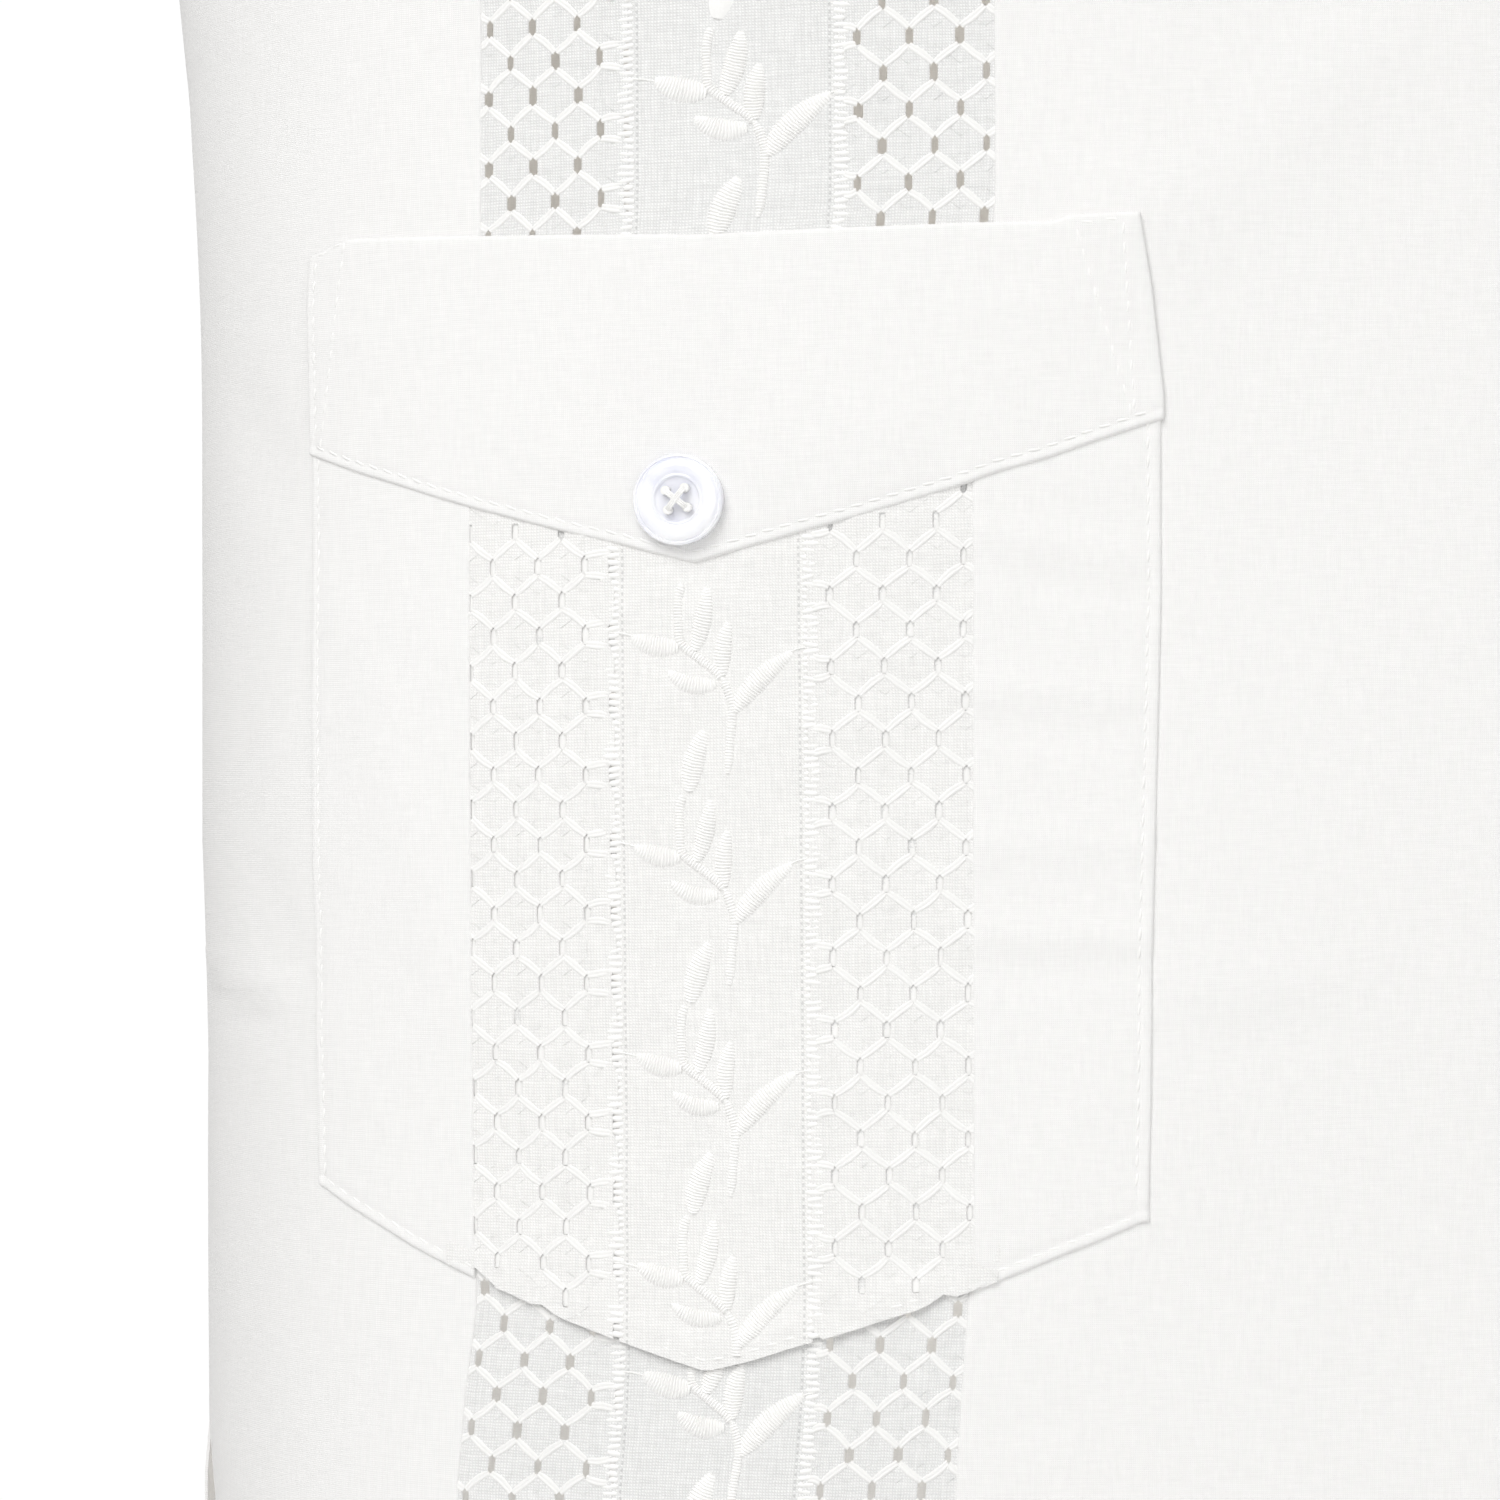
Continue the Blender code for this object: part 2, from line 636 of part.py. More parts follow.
def build_collar():
    """Turned-down collar: stands on the collar stand, rolls over and falls to its edge."""
    turn, point, outward, over = neck_frame(collar_steps())
    near_front = np.clip(1.0 - np.abs(turn) / 0.55, 0, 1)
    up = np.array([0.0, 0.0, 1.0])
    height = 0.0004 + 0.4 * over + stand_height(turn)
    top = point + outward * (over - 0.14 * stand_height(turn))[:, None]
    edge = collar_edge(turn)
    fall = 0.0034 + 0.0020 * near_front

    def at(out, lift):
        return top + outward * (np.zeros(len(turn)) + out)[:, None] + up * (height + lift)[:, None]

    start = at(fall, 0.0022)
    rows = [
        at(-STAND_WALL, 0.0005),
        at(-STAND_WALL, 0.0030),
        at((fall - STAND_WALL) / 2 - 0.0011, 0.0060),
        at((fall - STAND_WALL) / 2 + 0.0011, 0.0060),
        start,
    ]
    for share in (0.35, 0.70, 1.0):
        bulge = 0.0035 * np.sin(np.pi * share)
        rows.append(start + (edge - start) * share + outward * bulge)
    outer = np.array(rows)
    normal = grid_normals(outer, False)
    if (normal[-2] * outward).sum() < 0:
        normal = -normal
    return sheet("collar", outer, outer - normal * COLLAR_WALL, POPLIN)


# pockets: level of the top, the low corners, the low point, the facing's corners and its point
POCKET_COLUMNS = ("name", "top", "corner", "point", "facing_corner", "facing_point", "button")
POCKETS = (
    ("pocket_lower", -0.5220, -0.6436, -0.6645, -0.5480, -0.5630, -0.5565),
    ("pocket_upper", -0.2150, -0.3290, -0.3490, -0.2400, -0.2545, -0.2485),
)
POCKET_TOP_OUT = 0.00150
FACING_OUT = 0.00295
BUTTON_U = 0.1248
CENTRE_PART = np.array([POCKET_IN, STRIP_IN])
SIDE_PART = SIDE_INNER


def vee(u, corner, point):
    """Level of a pointed edge that is lowest in the middle of the strip."""
    inner = (u - POCKET_IN) / (STRIP_MID - POCKET_IN)
    outer = (POCKET_OUT - u) / (POCKET_OUT - STRIP_MID)
    return corner + (point - corner) * np.minimum(inner, outer)


def pocket_piece(name, side, columns, top, low, out, rows, wall, colour):
    f = np.linspace(0.0, 1.0, rows)[:, None]
    u = np.tile(columns, (rows, 1))
    level = low[None, :] + (top - low[None, :]) * f
    return body_piece(name, signed(u, side), level, colour, out=out, wall=wall)


def build_pocket(row, side, word):
    value = dict(zip(POCKET_COLUMNS, row))
    stem = value["name"] + "_" + word
    parts = (
        ("_centre", CENTRE_PART, POPLIN, (0.0, -SEAM)),
        ("_strip", STRIP_COLUMNS, BATISTE, (SEAM, -SEAM)),
        ("_side", SIDE_PART, POPLIN, (SEAM, 0.0)),
    )
    for tail, columns, colour, (first, last) in parts:
        low = vee(columns, value["corner"], value["point"])
        cut = columns.copy()
        cut[0] += first
        cut[-1] += last
        pocket_piece(stem + tail, side, cut, value["top"], low, POCKET_TOP_OUT, 6, OVER_WALL, colour)
    columns = np.concatenate([CENTRE_PART, STRIP_COLUMNS[1:], SIDE_PART[1:]])
    low = vee(columns, value["facing_corner"], value["facing_point"])
    top = value["top"]
    pocket_piece(stem + "_facing", side, columns, top, low, FACING_OUT, 3, OVER_WALL, POPLIN)
    point, normal = surface(side * BUTTON_U, value["button"], FACING_OUT + 0.0004)
    add_button(stem + "_button", point, normal)


# button profile: radius, height above its back
BUTTON_PROFILE = (
    (0.0044, 0.0000),
    (0.0057, 0.0008),
    (0.0056, 0.0022),
    (0.0047, 0.0026),
    (0.0031, 0.0018),
)
BUTTON_SEGMENTS = 16


def add_button(name, point, normal):
    normal = np.asarray(normal, float).reshape(3)
    point = np.asarray(point, float).reshape(3)
    up = np.array([0.0, 0.0, 1.0]) - normal * normal[2]
    up /= np.linalg.norm(up)
    across = np.cross(up, normal)
    angles = 2 * np.pi * np.arange(BUTTON_SEGMENTS) / BUTTON_SEGMENTS
    points = []
    for radius, height in BUTTON_PROFILE:
        for a in angles:
            points.append(point + normal * height + radius * (across * np.cos(a) + up * np.sin(a)))
    faces = []
    n = BUTTON_SEGMENTS
    for r in range(len(BUTTON_PROFILE) - 1):
        for k in range(n):
            a, b = r * n + k, r * n + (k + 1) % n
            faces.append((a, b, b + n, a + n))
    last = (len(BUTTON_PROFILE) - 1) * n
    faces.append(tuple(range(n))[::-1])
    faces.append(tuple(last + k for k in range(n)))
    piece = add_mesh(name, points, faces, PEARL, 0.25)
    if signed_volume(points, faces) < 0:
        piece.data.flip_normals()
    return piece


FRONT_BUTTON_LEVELS = (-0.140, -0.225, -0.310, -0.395, -0.480, -0.565)


def build_buttons():
    for k, level in enumerate(FRONT_BUTTON_LEVELS):
        point, normal = surface(0.0, level, 0.00155 + 0.0004)
        add_button("button_front_%d" % (k + 1), point, normal)
    step = np.array([-2 * np.pi])
    turn, point, outward, over = neck_frame(step)
    lift = 0.0004 + stand_height(turn)[0] * 0.5
    lean = stand_height(turn)[0] * 0.5 * 0.14
    place = point[0] + outward[0] * (over[0] - lean + 0.0004) + np.array([0, 0, lift])
    facing = outward[0] + np.array([0.0, 0.0, 0.14])
    add_button("button_neck", place + facing * 0.0001, facing / np.linalg.norm(facing))


build_fronts()
build_back()
build_yoke()
build_placket()
build_sleeves()
build_stand()
build_collar()
for pocket in POCKETS:
    build_pocket(pocket, -1, "right")
    build_pocket(pocket, 1, "left")
build_buttons()
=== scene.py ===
import functools
import math

import bpy
import numpy as np
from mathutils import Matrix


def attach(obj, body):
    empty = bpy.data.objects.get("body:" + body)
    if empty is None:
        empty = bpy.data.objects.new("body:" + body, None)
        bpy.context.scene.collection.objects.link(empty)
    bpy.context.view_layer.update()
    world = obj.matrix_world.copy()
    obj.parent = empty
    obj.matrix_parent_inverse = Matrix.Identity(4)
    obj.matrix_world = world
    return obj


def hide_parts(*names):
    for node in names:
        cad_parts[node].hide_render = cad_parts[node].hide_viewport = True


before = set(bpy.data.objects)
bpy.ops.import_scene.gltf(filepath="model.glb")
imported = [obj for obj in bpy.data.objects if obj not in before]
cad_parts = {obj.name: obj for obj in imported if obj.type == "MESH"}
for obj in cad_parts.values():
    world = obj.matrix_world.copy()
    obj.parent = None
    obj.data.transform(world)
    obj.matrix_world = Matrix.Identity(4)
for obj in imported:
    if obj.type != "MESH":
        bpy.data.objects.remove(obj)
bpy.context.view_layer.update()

# Guayabera shirt, filled out with nobody in it.  Metres, +Z up, the front faces -Y.
# Cloth is laid on one garment surface, reached by
#   u      level distance from centre front round the body (- is the wearer's right)
#   level  height of the ring at centre front

MM = 0.001
POPLIN_THICK = 0.42 * MM
BATISTE_THICK = 0.26 * MM
BATISTE_DROP = 0.38 * MM      # the inset strip lies under the folded edges of the poplin
TUCK = 3.0 * MM
POCKET_LIFT = 0.45 * MM
POCKET_STRIP_LIFT = 0.08 * MM
STRIP_BEHIND = 0.26 * MM      # from a pocket's strip to the shirt's own strip
FACING_LIFT = 0.84 * MM
FACING_THICK = 0.36 * MM
SEAM_TUCK = 3.0 * MM        # cloth that runs on under the yoke
YOKE_RISE = 0.46 * MM
PLACKET_LIFT = 1.30 * MM
PLACKET_THICK = 0.9 * MM      # doubled cloth

HEM = -0.735
VENT_TOP = -0.668
UNDERARM = -0.250
NECK = -0.075
YOKE_BACK = -0.125
STRIP_IN = 0.0875
STRIP_MID = 0.1205
STRIP_OUT = 0.1525
SEAM_TURN = np.radians(95.0)

RING_COLUMNS = ("level", "z_side", "z_back", "half_width", "front", "back", "round")
RINGS = (
    (-0.760, -0.760, -0.760, 0.1842, 0.079, 0.104, 2.70),
    (-0.735, -0.735, -0.735, 0.1844, 0.079, 0.104, 2.70),
    (-0.680, -0.680, -0.680, 0.1852, 0.079, 0.104, 2.70),
    (-0.600, -0.600, -0.600, 0.1862, 0.079, 0.103, 2.70),
    (-0.540, -0.540, -0.540, 0.1864, 0.079, 0.101, 2.70),
    (-0.500, -0.500, -0.500, 0.1880, 0.080, 0.099, 2.66),
    (-0.430, -0.430, -0.430, 0.1915, 0.086, 0.098, 2.55),
    (-0.350, -0.350, -0.350, 0.1955, 0.098, 0.102, 2.45),
    (-0.250, -0.250, -0.250, 0.2000, 0.108, 0.110, 2.40),
    (-0.190, -0.190, -0.190, 0.2020, 0.108, 0.112, 2.40),
    (-0.140, -0.125, -0.140, 0.2080, 0.101, 0.109, 2.35),
    (-0.125, -0.090, -0.125, 0.2130, 0.097, 0.106, 2.30),
    (-0.105, -0.055, -0.085, 0.2180, 0.090, 0.098, 2.20),
    (-0.090, -0.022, -0.045, 0.1450, 0.080, 0.083, 2.10),
    (-0.075, 0.0000, -0.010, 0.0700, 0.069, 0.066, 2.00),
    (-0.065, 0.0150, 0.0060, 0.0560, 0.060, 0.058, 2.00),
)
ARMHOLE_COLUMNS = ("level", "front_turn", "back_turn")
ARMHOLE = (
    (-0.250, 95.0, 95.0),
    (-0.243, 84.0, 106.0),
    (-0.230, 76.0, 114.0),
    (-0.205, 69.5, 119.0),
    (-0.170, 66.5, 120.5),
    (-0.140, 67.5, 118.5),
    (-0.125, 69.0, 116.0),
    (-0.112, 74.0, 110.0),
    (-0.105, 90.0, 90.0),
)
YOKE_FRONT_ARM = (np.radians(69.0), -0.125)      # ring angle and level of its front corner
YOKE_FRONT_NECK = np.radians(65.0)


def unit(value):
    """The value, kept between 0 and 1."""
    return np.clip(value, 0, 1)


def column(table, names, name):
    return np.array([row[names.index(name)] for row in table])


def hermite(f):
    """Weights of a value, its slope, the next value and its slope."""
    return 2 * f**3 - 3 * f**2 + 1, f**3 - 2 * f**2 + f, 3 * f**2 - 2 * f**3, f**3 - f**2


def smooth_table(levels, values):
    """Smooth curve through the rows, sampled every millimetre."""
    at = np.arange(levels[0], levels[-1] + 1e-9, 0.001)
    slope = np.gradient(values, levels)
    k = np.clip(np.searchsorted(levels, at, side="right") - 1, 0, len(levels) - 2)
    span = levels[k + 1] - levels[k]
    a, b, c, d = hermite((at - levels[k]) / span)
    return at, a * values[k] + b * span * slope[k] + c * values[k + 1] + d * span * slope[k + 1]


def run_along(points, axis):
    """Distance run along the rows or columns of a grid of points."""
    step = np.linalg.norm(np.diff(points, axis=axis), axis=-1)
    start = np.zeros_like(np.take(step, [0], axis=axis))
    return np.concatenate([start, np.cumsum(step, axis=axis)], axis=axis)


RING_LEVELS = column(RINGS, RING_COLUMNS, "level")
SMOOTH = {}
for ring_name in RING_COLUMNS[1:]:
    LEVELS, SMOOTH[ring_name] = smooth_table(RING_LEVELS, column(RINGS, RING_COLUMNS, ring_name))


def drape(turn, level):
    """Soft folds of the hanging cloth, moved straight out from the axis."""
    low = unit((-0.30 - level) / 0.42)
    side = np.sin(turn) ** 2
    back = unit(-np.cos(turn))
    wave = 0.0030 * low**2 * back * np.cos(4.0 * turn)
    wave = wave + 0.0022 * side * np.sin((level + 0.36) * 34.0) * np.exp(-((level + 0.37) / 0.09) ** 2)
    wave = wave + 0.0030 * back * np.sin((level + 0.40) * 40.0) * np.exp(-((level + 0.42) / 0.07) ** 2)
    return wave


def on_ring(turn, level):
    """Point of the garment surface at a ring angle (0 front, pi back, signed) and level."""
    sign = np.sign(turn)
    t = np.abs(turn)
    value = {name: np.interp(level, LEVELS, SMOOTH[name]) for name in SMOOTH}
    power = 2.0 / value["round"]
    c = np.cos(t)
    s = np.sin(t)
    ahead = np.abs(c) ** power
    depth = np.where(c > 0, value["front"], value["back"])
    lift = np.abs(c) ** 1.5
    z_far = np.where(c > 0, level, value["z_back"])
    z = value["z_side"] + (z_far - value["z_side"]) * lift
    swell = 1.0 + drape(t, level) / 0.12
    x = value["half_width"] * np.abs(s) ** power * swell
    y = -np.sign(c) * depth * ahead * swell
    return np.stack([sign * x, y, z], axis=-1)


TURNS = np.linspace(0, np.pi, 541)
U_STEP = 0.002
U_GRID = np.arange(0.0, 0.70, U_STEP)


def turn_table():
    """Ring angles at even distances from centre front, and half the girth, for each level."""
    rows = []
    half = []
    for level in LEVELS:
        run = run_along(on_ring(TURNS, np.full_like(TURNS, level))[:, :2], 0)
        rows.append(np.interp(U_GRID, run, TURNS))
        half.append(run[-1])
    return np.array(rows), np.array(half)


TURN_TABLE, HALF_GIRTH = turn_table()


def turn_of(u, level):
    """Ring angle at a distance u from centre front."""
    sign = np.sign(u)
    j = np.clip(np.abs(u) / U_STEP, 0, len(U_GRID) - 1.001)
    k = np.clip((level - LEVELS[0]) / 0.001, 0, len(LEVELS) - 1.001)
    j0 = j.astype(int)
    k0 = k.astype(int)
    out = j - j0
    up = k - k0
    low = TURN_TABLE[k0, j0] * (1 - out) + TURN_TABLE[k0, j0 + 1] * out
    high = TURN_TABLE[k0 + 1, j0] * (1 - out) + TURN_TABLE[k0 + 1, j0 + 1] * out
    return sign * (low * (1 - up) + high * up)


def u_of(turn, level):
    k = int(round((level - LEVELS[0]) / 0.001))
    k = min(max(k, 0), len(LEVELS) - 1)
    return float(np.interp(turn, TURN_TABLE[k], U_GRID))


def by_turn(turn, level):
    """Points and outward normals for ring angles; columns past the back run on in sign."""
    point = on_ring(turn, level)
    dt = 0.02
    dl = 0.003
    safe = np.sign(turn) * np.minimum(np.abs(turn), np.pi - dt)
    safe = np.where(np.abs(safe) < dt, np.where(turn < 0, -dt, dt), safe)
    along = on_ring(safe + dt * 0.999, level) - on_ring(safe - dt * 0.999, level)
    up = on_ring(turn, level + dl) - on_ring(turn, level - dl)
    normal = np.cross(along, up)
    normal = normal / np.linalg.norm(normal, axis=-1, keepdims=True)
    back = np.abs(turn) > np.pi - 1e-6
    normal[back, 0] = 0.0
    return point, normal


def surface(u, level):
    u = np.asarray(u, float)
    level = np.asarray(level, float) + 0.0 * u
    return by_turn(turn_of(u, level), level)


def armhole_turn(level, edge):
    levels = column(ARMHOLE, ARMHOLE_COLUMNS, "level")
    turns = column(ARMHOLE, ARMHOLE_COLUMNS, edge)
    return np.radians(np.interp(level, levels, turns))


def edge_u(level, edge):
    """Side seam below the arm, armhole edge above it."""
    if level < UNDERARM:
        return u_of(SEAM_TURN, level)
    return u_of(armhole_turn(level, edge), level)


def yoke_seam(f):
    """Front yoke seam as (u, level): f = 0 at the armhole, 1 at the neck."""
    u_arm = u_of(*YOKE_FRONT_ARM)
    u_neck = u_of(YOKE_FRONT_NECK, NECK)
    level_arm = YOKE_FRONT_ARM[1]
    return u_arm + (u_neck - u_arm) * f, level_arm + (NECK - level_arm) * f


def seam_level(u):
    """Level at which the front yoke seam crosses a given u."""
    u0, l0 = yoke_seam(0.0)
    u1, l1 = yoke_seam(1.0)
    return l0 + (l1 - l0) * (u0 - u) / (u0 - u1)


def seam_share(u):
    """How far along the front yoke seam, from the armhole to the neck, a given u is."""
    u0 = yoke_seam(0.0)[0]
    u1 = yoke_seam(1.0)[0]
    return (u0 - u) / (u0 - u1)


# Folds and creases of the worn cloth

# from one (u, level) to another; height and width in millimetres
CREASES = (
    (-0.2120, -0.6144, -0.1828, -0.6191, 0.80, 1.6),
    (-0.2120, -0.6180, -0.1850, -0.6222, -0.50, 2.2),
    (-0.0661, -0.5208, -0.0420, -0.5000, 0.70, 9.0),
    (-0.0600, -0.5120, -0.0380, -0.4900, -0.60, 7.0),
    (-0.0600, -0.6180, -0.0450, -0.6160, 0.26, 3.5),
    (-0.0600, -0.6240, -0.0470, -0.6230, -0.20, 3.5),
    (-0.1838, -0.5509, -0.1900, -0.5420, -0.50, 5.0),
    (-0.1808, -0.6151, -0.1860, -0.6050, -0.50, 5.0),
    (-0.2300, -0.4300, -0.1400, -0.3900, 1.60, 9.0),
    (-0.2250, -0.3950, -0.1700, -0.3700, -1.40, 8.0),
    (0.2300, -0.4250, 0.1300, -0.3850, 1.60, 9.0),
    (0.2200, -0.3900, 0.1600, -0.3650, -1.40, 8.0),
    (0.2100, -0.5700, 0.1850, -0.5200, 1.00, 8.0),
    (-0.2350, -0.2650, -0.1750, -0.3050, 2.20, 8.0),
    (-0.2350, -0.2850, -0.1850, -0.3350, -1.60, 8.0),
    (0.2350, -0.2650, 0.1750, -0.3050, 2.20, 8.0),
    (0.2350, -0.2850, 0.1850, -0.3350, -1.60, 8.0),
    (-0.3000, -0.3000, -0.3600, -0.4200, 2.20, 10.0),
    (0.3000, -0.3100, 0.3700, -0.4300, 2.20, 10.0),
    (-0.3500, -0.4600, -0.4300, -0.4850, 2.40, 9.0),
    (0.3600, -0.4700, 0.4400, -0.4900, 2.40, 9.0),
    (-0.3400, -0.5200, -0.4200, -0.5300, -1.80, 10.0),
    (0.3500, -0.5300, 0.4300, -0.5350, -1.80, 10.0),
)
POCKET_CREASES = (
    (-0.0880, -0.5605, -0.0665, -0.5640, 0.35, 1.8),
    (-0.0880, -0.5655, -0.0680, -0.5690, -0.30, 1.8),
    (-0.0880, -0.5800, -0.0670, -0.5808, 0.35, 2.0),
    (-0.0880, -0.5850, -0.0700, -0.5860, -0.30, 2.2),
    (-0.0870, -0.5995, -0.0668, -0.5993, 0.40, 2.4),
    (-0.0880, -0.6106, -0.0667, -0.6111, 0.45, 1.8),
    (-0.0870, -0.6150, -0.0700, -0.6150, -0.35, 2.2),
    (-0.0900, -0.5327, -0.0679, -0.5326, 0.20, 1.4),
    (-0.1754, -0.5336, -0.1644, -0.5342, 0.20, 1.2),
    (-0.1700, -0.5700, -0.1540, -0.6200, 0.40, 4.0),
    (-0.1500, -0.6480, -0.1250, -0.6560, 0.30, 2.5),
)


def bank(u, level, rows):
    """Height of the ridges and hollows of a crease table at each point."""
    total = np.zeros(np.broadcast(u, level).shape)
    for row in rows:
        ua, la, ub, lb, height, width = row
        du, dl = ub - ua, lb - la
        t = unit(((u - ua) * du + (level - la) * dl) / (du * du + dl * dl))
        away = np.hypot(u - ua - t * du, level - la - t * dl)
        total = total + height * MM * np.exp(-(away / (width * MM)) ** 2)
    return total


NOISE_CELLS = 97


@functools.lru_cache(maxsize=None)
def noise_table(seed):
    return np.random.default_rng(seed).uniform(-1.0, 1.0, (NOISE_CELLS, NOISE_CELLS))


def soft_noise(x, y, seed):
    """Smooth random heights, about -1 to 1, one bump a unit."""
    table = noise_table(seed)
    xi = np.floor(x).astype(int)
    yi = np.floor(y).astype(int)
    fx = x - xi
    fy = y - yi
    fx = fx * fx * (3 - 2 * fx)
    fy = fy * fy * (3 - 2 * fy)
    x0, x1 = xi % NOISE_CELLS, (xi + 1) % NOISE_CELLS
    y0, y1 = yi % NOISE_CELLS, (yi + 1) % NOISE_CELLS
    low = table[x0, y0] * (1 - fx) + table[x1, y0] * fx
    high = table[x0, y1] * (1 - fx) + table[x1, y1] * fx
    return low * (1 - fy) + high * fy


# level, millimetres out: how far the right side of the worn shirt hangs out
SIDE_HANG = (
    (-0.705, 0.0), (-0.679, 1.25), (-0.672, 1.10), (-0.650, 0.75), (-0.628, 0.55), (-0.612, 0.90),
    (-0.599, 1.20), (-0.577, 0.90), (-0.555, 0.55), (-0.534, 0.0), (-0.512, -0.75), (-0.496, -1.10),
    (-0.460, 0.0))


def side_hang(u, level):
    levels, heights = np.array(SIDE_HANG).T
    near_edge = unit((-0.192 - u) / 0.025) * unit((u + 0.290) / 0.040)
    return np.interp(level, levels, heights) * near_edge * MM


def body_relief(u, level):
    """Folds of the shirt body; all that is sewn on it follows them."""
    wide = soft_noise(u / 0.045 + 20, level / 0.060 + 40, 4) * 0.60 * MM
    small = soft_noise(u / 0.016 + 50, level / 0.022 + 70, 9) * 0.12 * MM
    return bank(u, level, CREASES) + side_hang(u, level) + wide + small


def pocket_relief(u, level):
    """Extra wrinkles of a pocket: the same on both sides and on the chest pockets."""
    right = -np.abs(u)
    down = np.where(level > -0.45, level - 0.307, level)
    fine = soft_noise(u / 0.006 + 10, level / 0.007 + 90, 12) * 0.07 * MM
    return 0.6 * bank(right, down, POCKET_CREASES) + fine


# how far the strip of the right front hangs toward the buttons, in millimetres, at each level:
# level, at u 0.0875, at 0.108, at 0.133, at 0.1525
STRIP_SWAY = (
    (-0.705, 0.0, 0.0, 0.0, 0.0), (-0.681, -3.0, -1.7, -1.4, -2.1), (-0.669, -2.2, -0.6, -0.3, -0.7),
    (-0.657, -1.2, 0.0, 0.3, 1.1), (-0.640, -0.4, 0.0, 0.0, 0.3), (-0.555, 0.0, 0.0, 0.0, 0.0),
    (-0.530, 2.7, 3.4, 1.5, 2.0), (-0.518, 3.5, 4.4, 2.0, 2.6), (-0.494, 3.5, 4.4, 2.0, 2.8),
    (-0.440, 0.0, 0.0, 0.0, 0.0))
SWAY_AT = (0.0600, 0.0875, 0.1080, 0.1330, 0.1525, 0.1775)


def swayed(u, level):
    """u of the right front after the sideways hang of its strip; the left front hangs straight."""
    u = np.asarray(u, float)
    level = np.asarray(level, float) + 0.0 * u
    rows = np.array(STRIP_SWAY)
    knots = [0.0 * level] + [np.interp(level, rows[:, 0], rows[:, k]) for k in range(1, 5)] + [0.0 * level]
    shift = 0.0 * level
    for k in range(len(SWAY_AT) - 1):
        share = (-u - SWAY_AT[k]) / (SWAY_AT[k + 1] - SWAY_AT[k])
        within = (share >= 0.0) & (share < 1.0)
        shift = np.where(within, knots[k] + (knots[k + 1] - knots[k]) * share, shift)
    return u + shift * MM


def on_shirt(u, level, out):
    """Points on the shirt body, lifted by out, with its folds."""
    point, normal = surface(u, level)
    lift = np.asarray(out) + body_relief(np.asarray(u), np.asarray(level))
    return point + normal * lift[..., None], normal


# Materials

def set_sockets(node, values):
    for name, value in values.items():
        node.inputs[name].default_value = value


def new_material(name, colour, rough, **shine):
    """A material with the gloss values of its shader, named by socket with _ for a space."""
    material = bpy.data.materials.new(name)
    material.use_nodes = True
    shader = material.node_tree.nodes["Principled BSDF"]
    set_sockets(shader, {"Base Color": (*colour, 1.0), "Roughness": rough})
    set_sockets(shader, {socket.replace("_", " "): value for socket, value in shine.items()})
    return material, material.node_tree, shader


def add_node(tree, kind, sockets=None, **settings):
    node = tree.nodes.new(kind)
    for name, value in settings.items():
        setattr(node, name, value)
    set_sockets(node, sockets or {})
    return node


def link(tree, a, out, b, into):
    tree.links.new(a.outputs[out], b.inputs[into])


def compute(tree, operation, *terms):
    """Result of a math node on terms that are numbers or (node, output) pairs."""
    node = add_node(tree, "ShaderNodeMath", operation=operation)
    for k, term in enumerate(terms):
        if isinstance(term, tuple):
            link(tree, *term, node, k)
        else:
            node.inputs[k].default_value = term
    return node, "Value"


def remap(tree, value, low, high, start=0.0, end=1.0):
    """A value from start to end, brought to the range from low to high."""
    node = add_node(tree, "ShaderNodeMapRange",
                    {"From Min": start, "From Max": end, "To Min": low, "To Max": high})
    link(tree, *value, node, "Value")
    return node, "Result"


def noise_value(tree, place, out, **sockets):
    """Noise in the space of a coordinate output."""
    noise = add_node(tree, "ShaderNodeTexNoise", sockets)
    link(tree, place, out, noise, "Vector")
    return noise, "Fac"


def tint(tree, shader, colour, tone):
    """Base colour times a tone."""
    mix = add_node(tree, "ShaderNodeMix", data_type="RGBA", blend_type="MULTIPLY")
    set_sockets(mix, {"Factor": 1.0, "A": (*colour, 1.0)})
    link(tree, *tone, mix, "B")
    link(tree, mix, "Result", shader, "Base Color")


def add_bump(tree, shader, height, strength, depth):
    bump = add_node(tree, "ShaderNodeBump", {"Strength": strength, "Distance": depth})
    link(tree, *height, bump, "Height")
    link(tree, bump, "Normal", shader, "Normal")


def thread_wave(tree, uv, axis, pitch, wobble, reach):
    """Rounded threads across one direction of the cloth, one each pitch."""
    wave = add_node(tree, "ShaderNodeTexWave", bands_direction=axis)
    set_sockets(wave, {"Scale": 2 * math.pi / (20.0 * pitch), "Distortion": wobble,
                       "Detail": 2.0, "Detail Scale": reach})
    link(tree, uv, "UV", wave, "Vector")
    return wave, "Fac"


def streaks(tree, uv, scale, contrast):
    """Uneven thickness of single threads: noise drawn out along the thread."""
    place = add_node(tree, "ShaderNodeMapping", {"Scale": scale})
    link(tree, uv, "UV", place, "Vector")
    noise = noise_value(tree, place, "Vector", Scale=1.0, Detail=3.0, Roughness=0.6)
    return remap(tree, noise, 1.0 - contrast, 1.0, 0.3, 0.7)


def needle_hole_shade(tree, uv, lines):
    """Painted shade of needle holes: darker dots along two lines of equal distance from the front edge, 1
    elsewhere.
    """
    split = add_node(tree, "ShaderNodeSeparateXYZ")
    link(tree, uv, "UV", split, "Vector")
    beat = compute(tree, "SINE", compute(tree, "MULTIPLY", (split, "Y"), 2 * math.pi / NEEDLE_PITCH))
    dots = compute(tree, "GREATER_THAN", beat, -0.1)
    distance = compute(tree, "ABSOLUTE", (split, "X"))
    on_lines = compute(tree, "ADD", *[
        compute(tree, "COMPARE", distance, line, NEEDLE_WIDE) for line in lines])
    return remap(tree, compute(tree, "MULTIPLY", on_lines, dots), 1.0, 0.80)


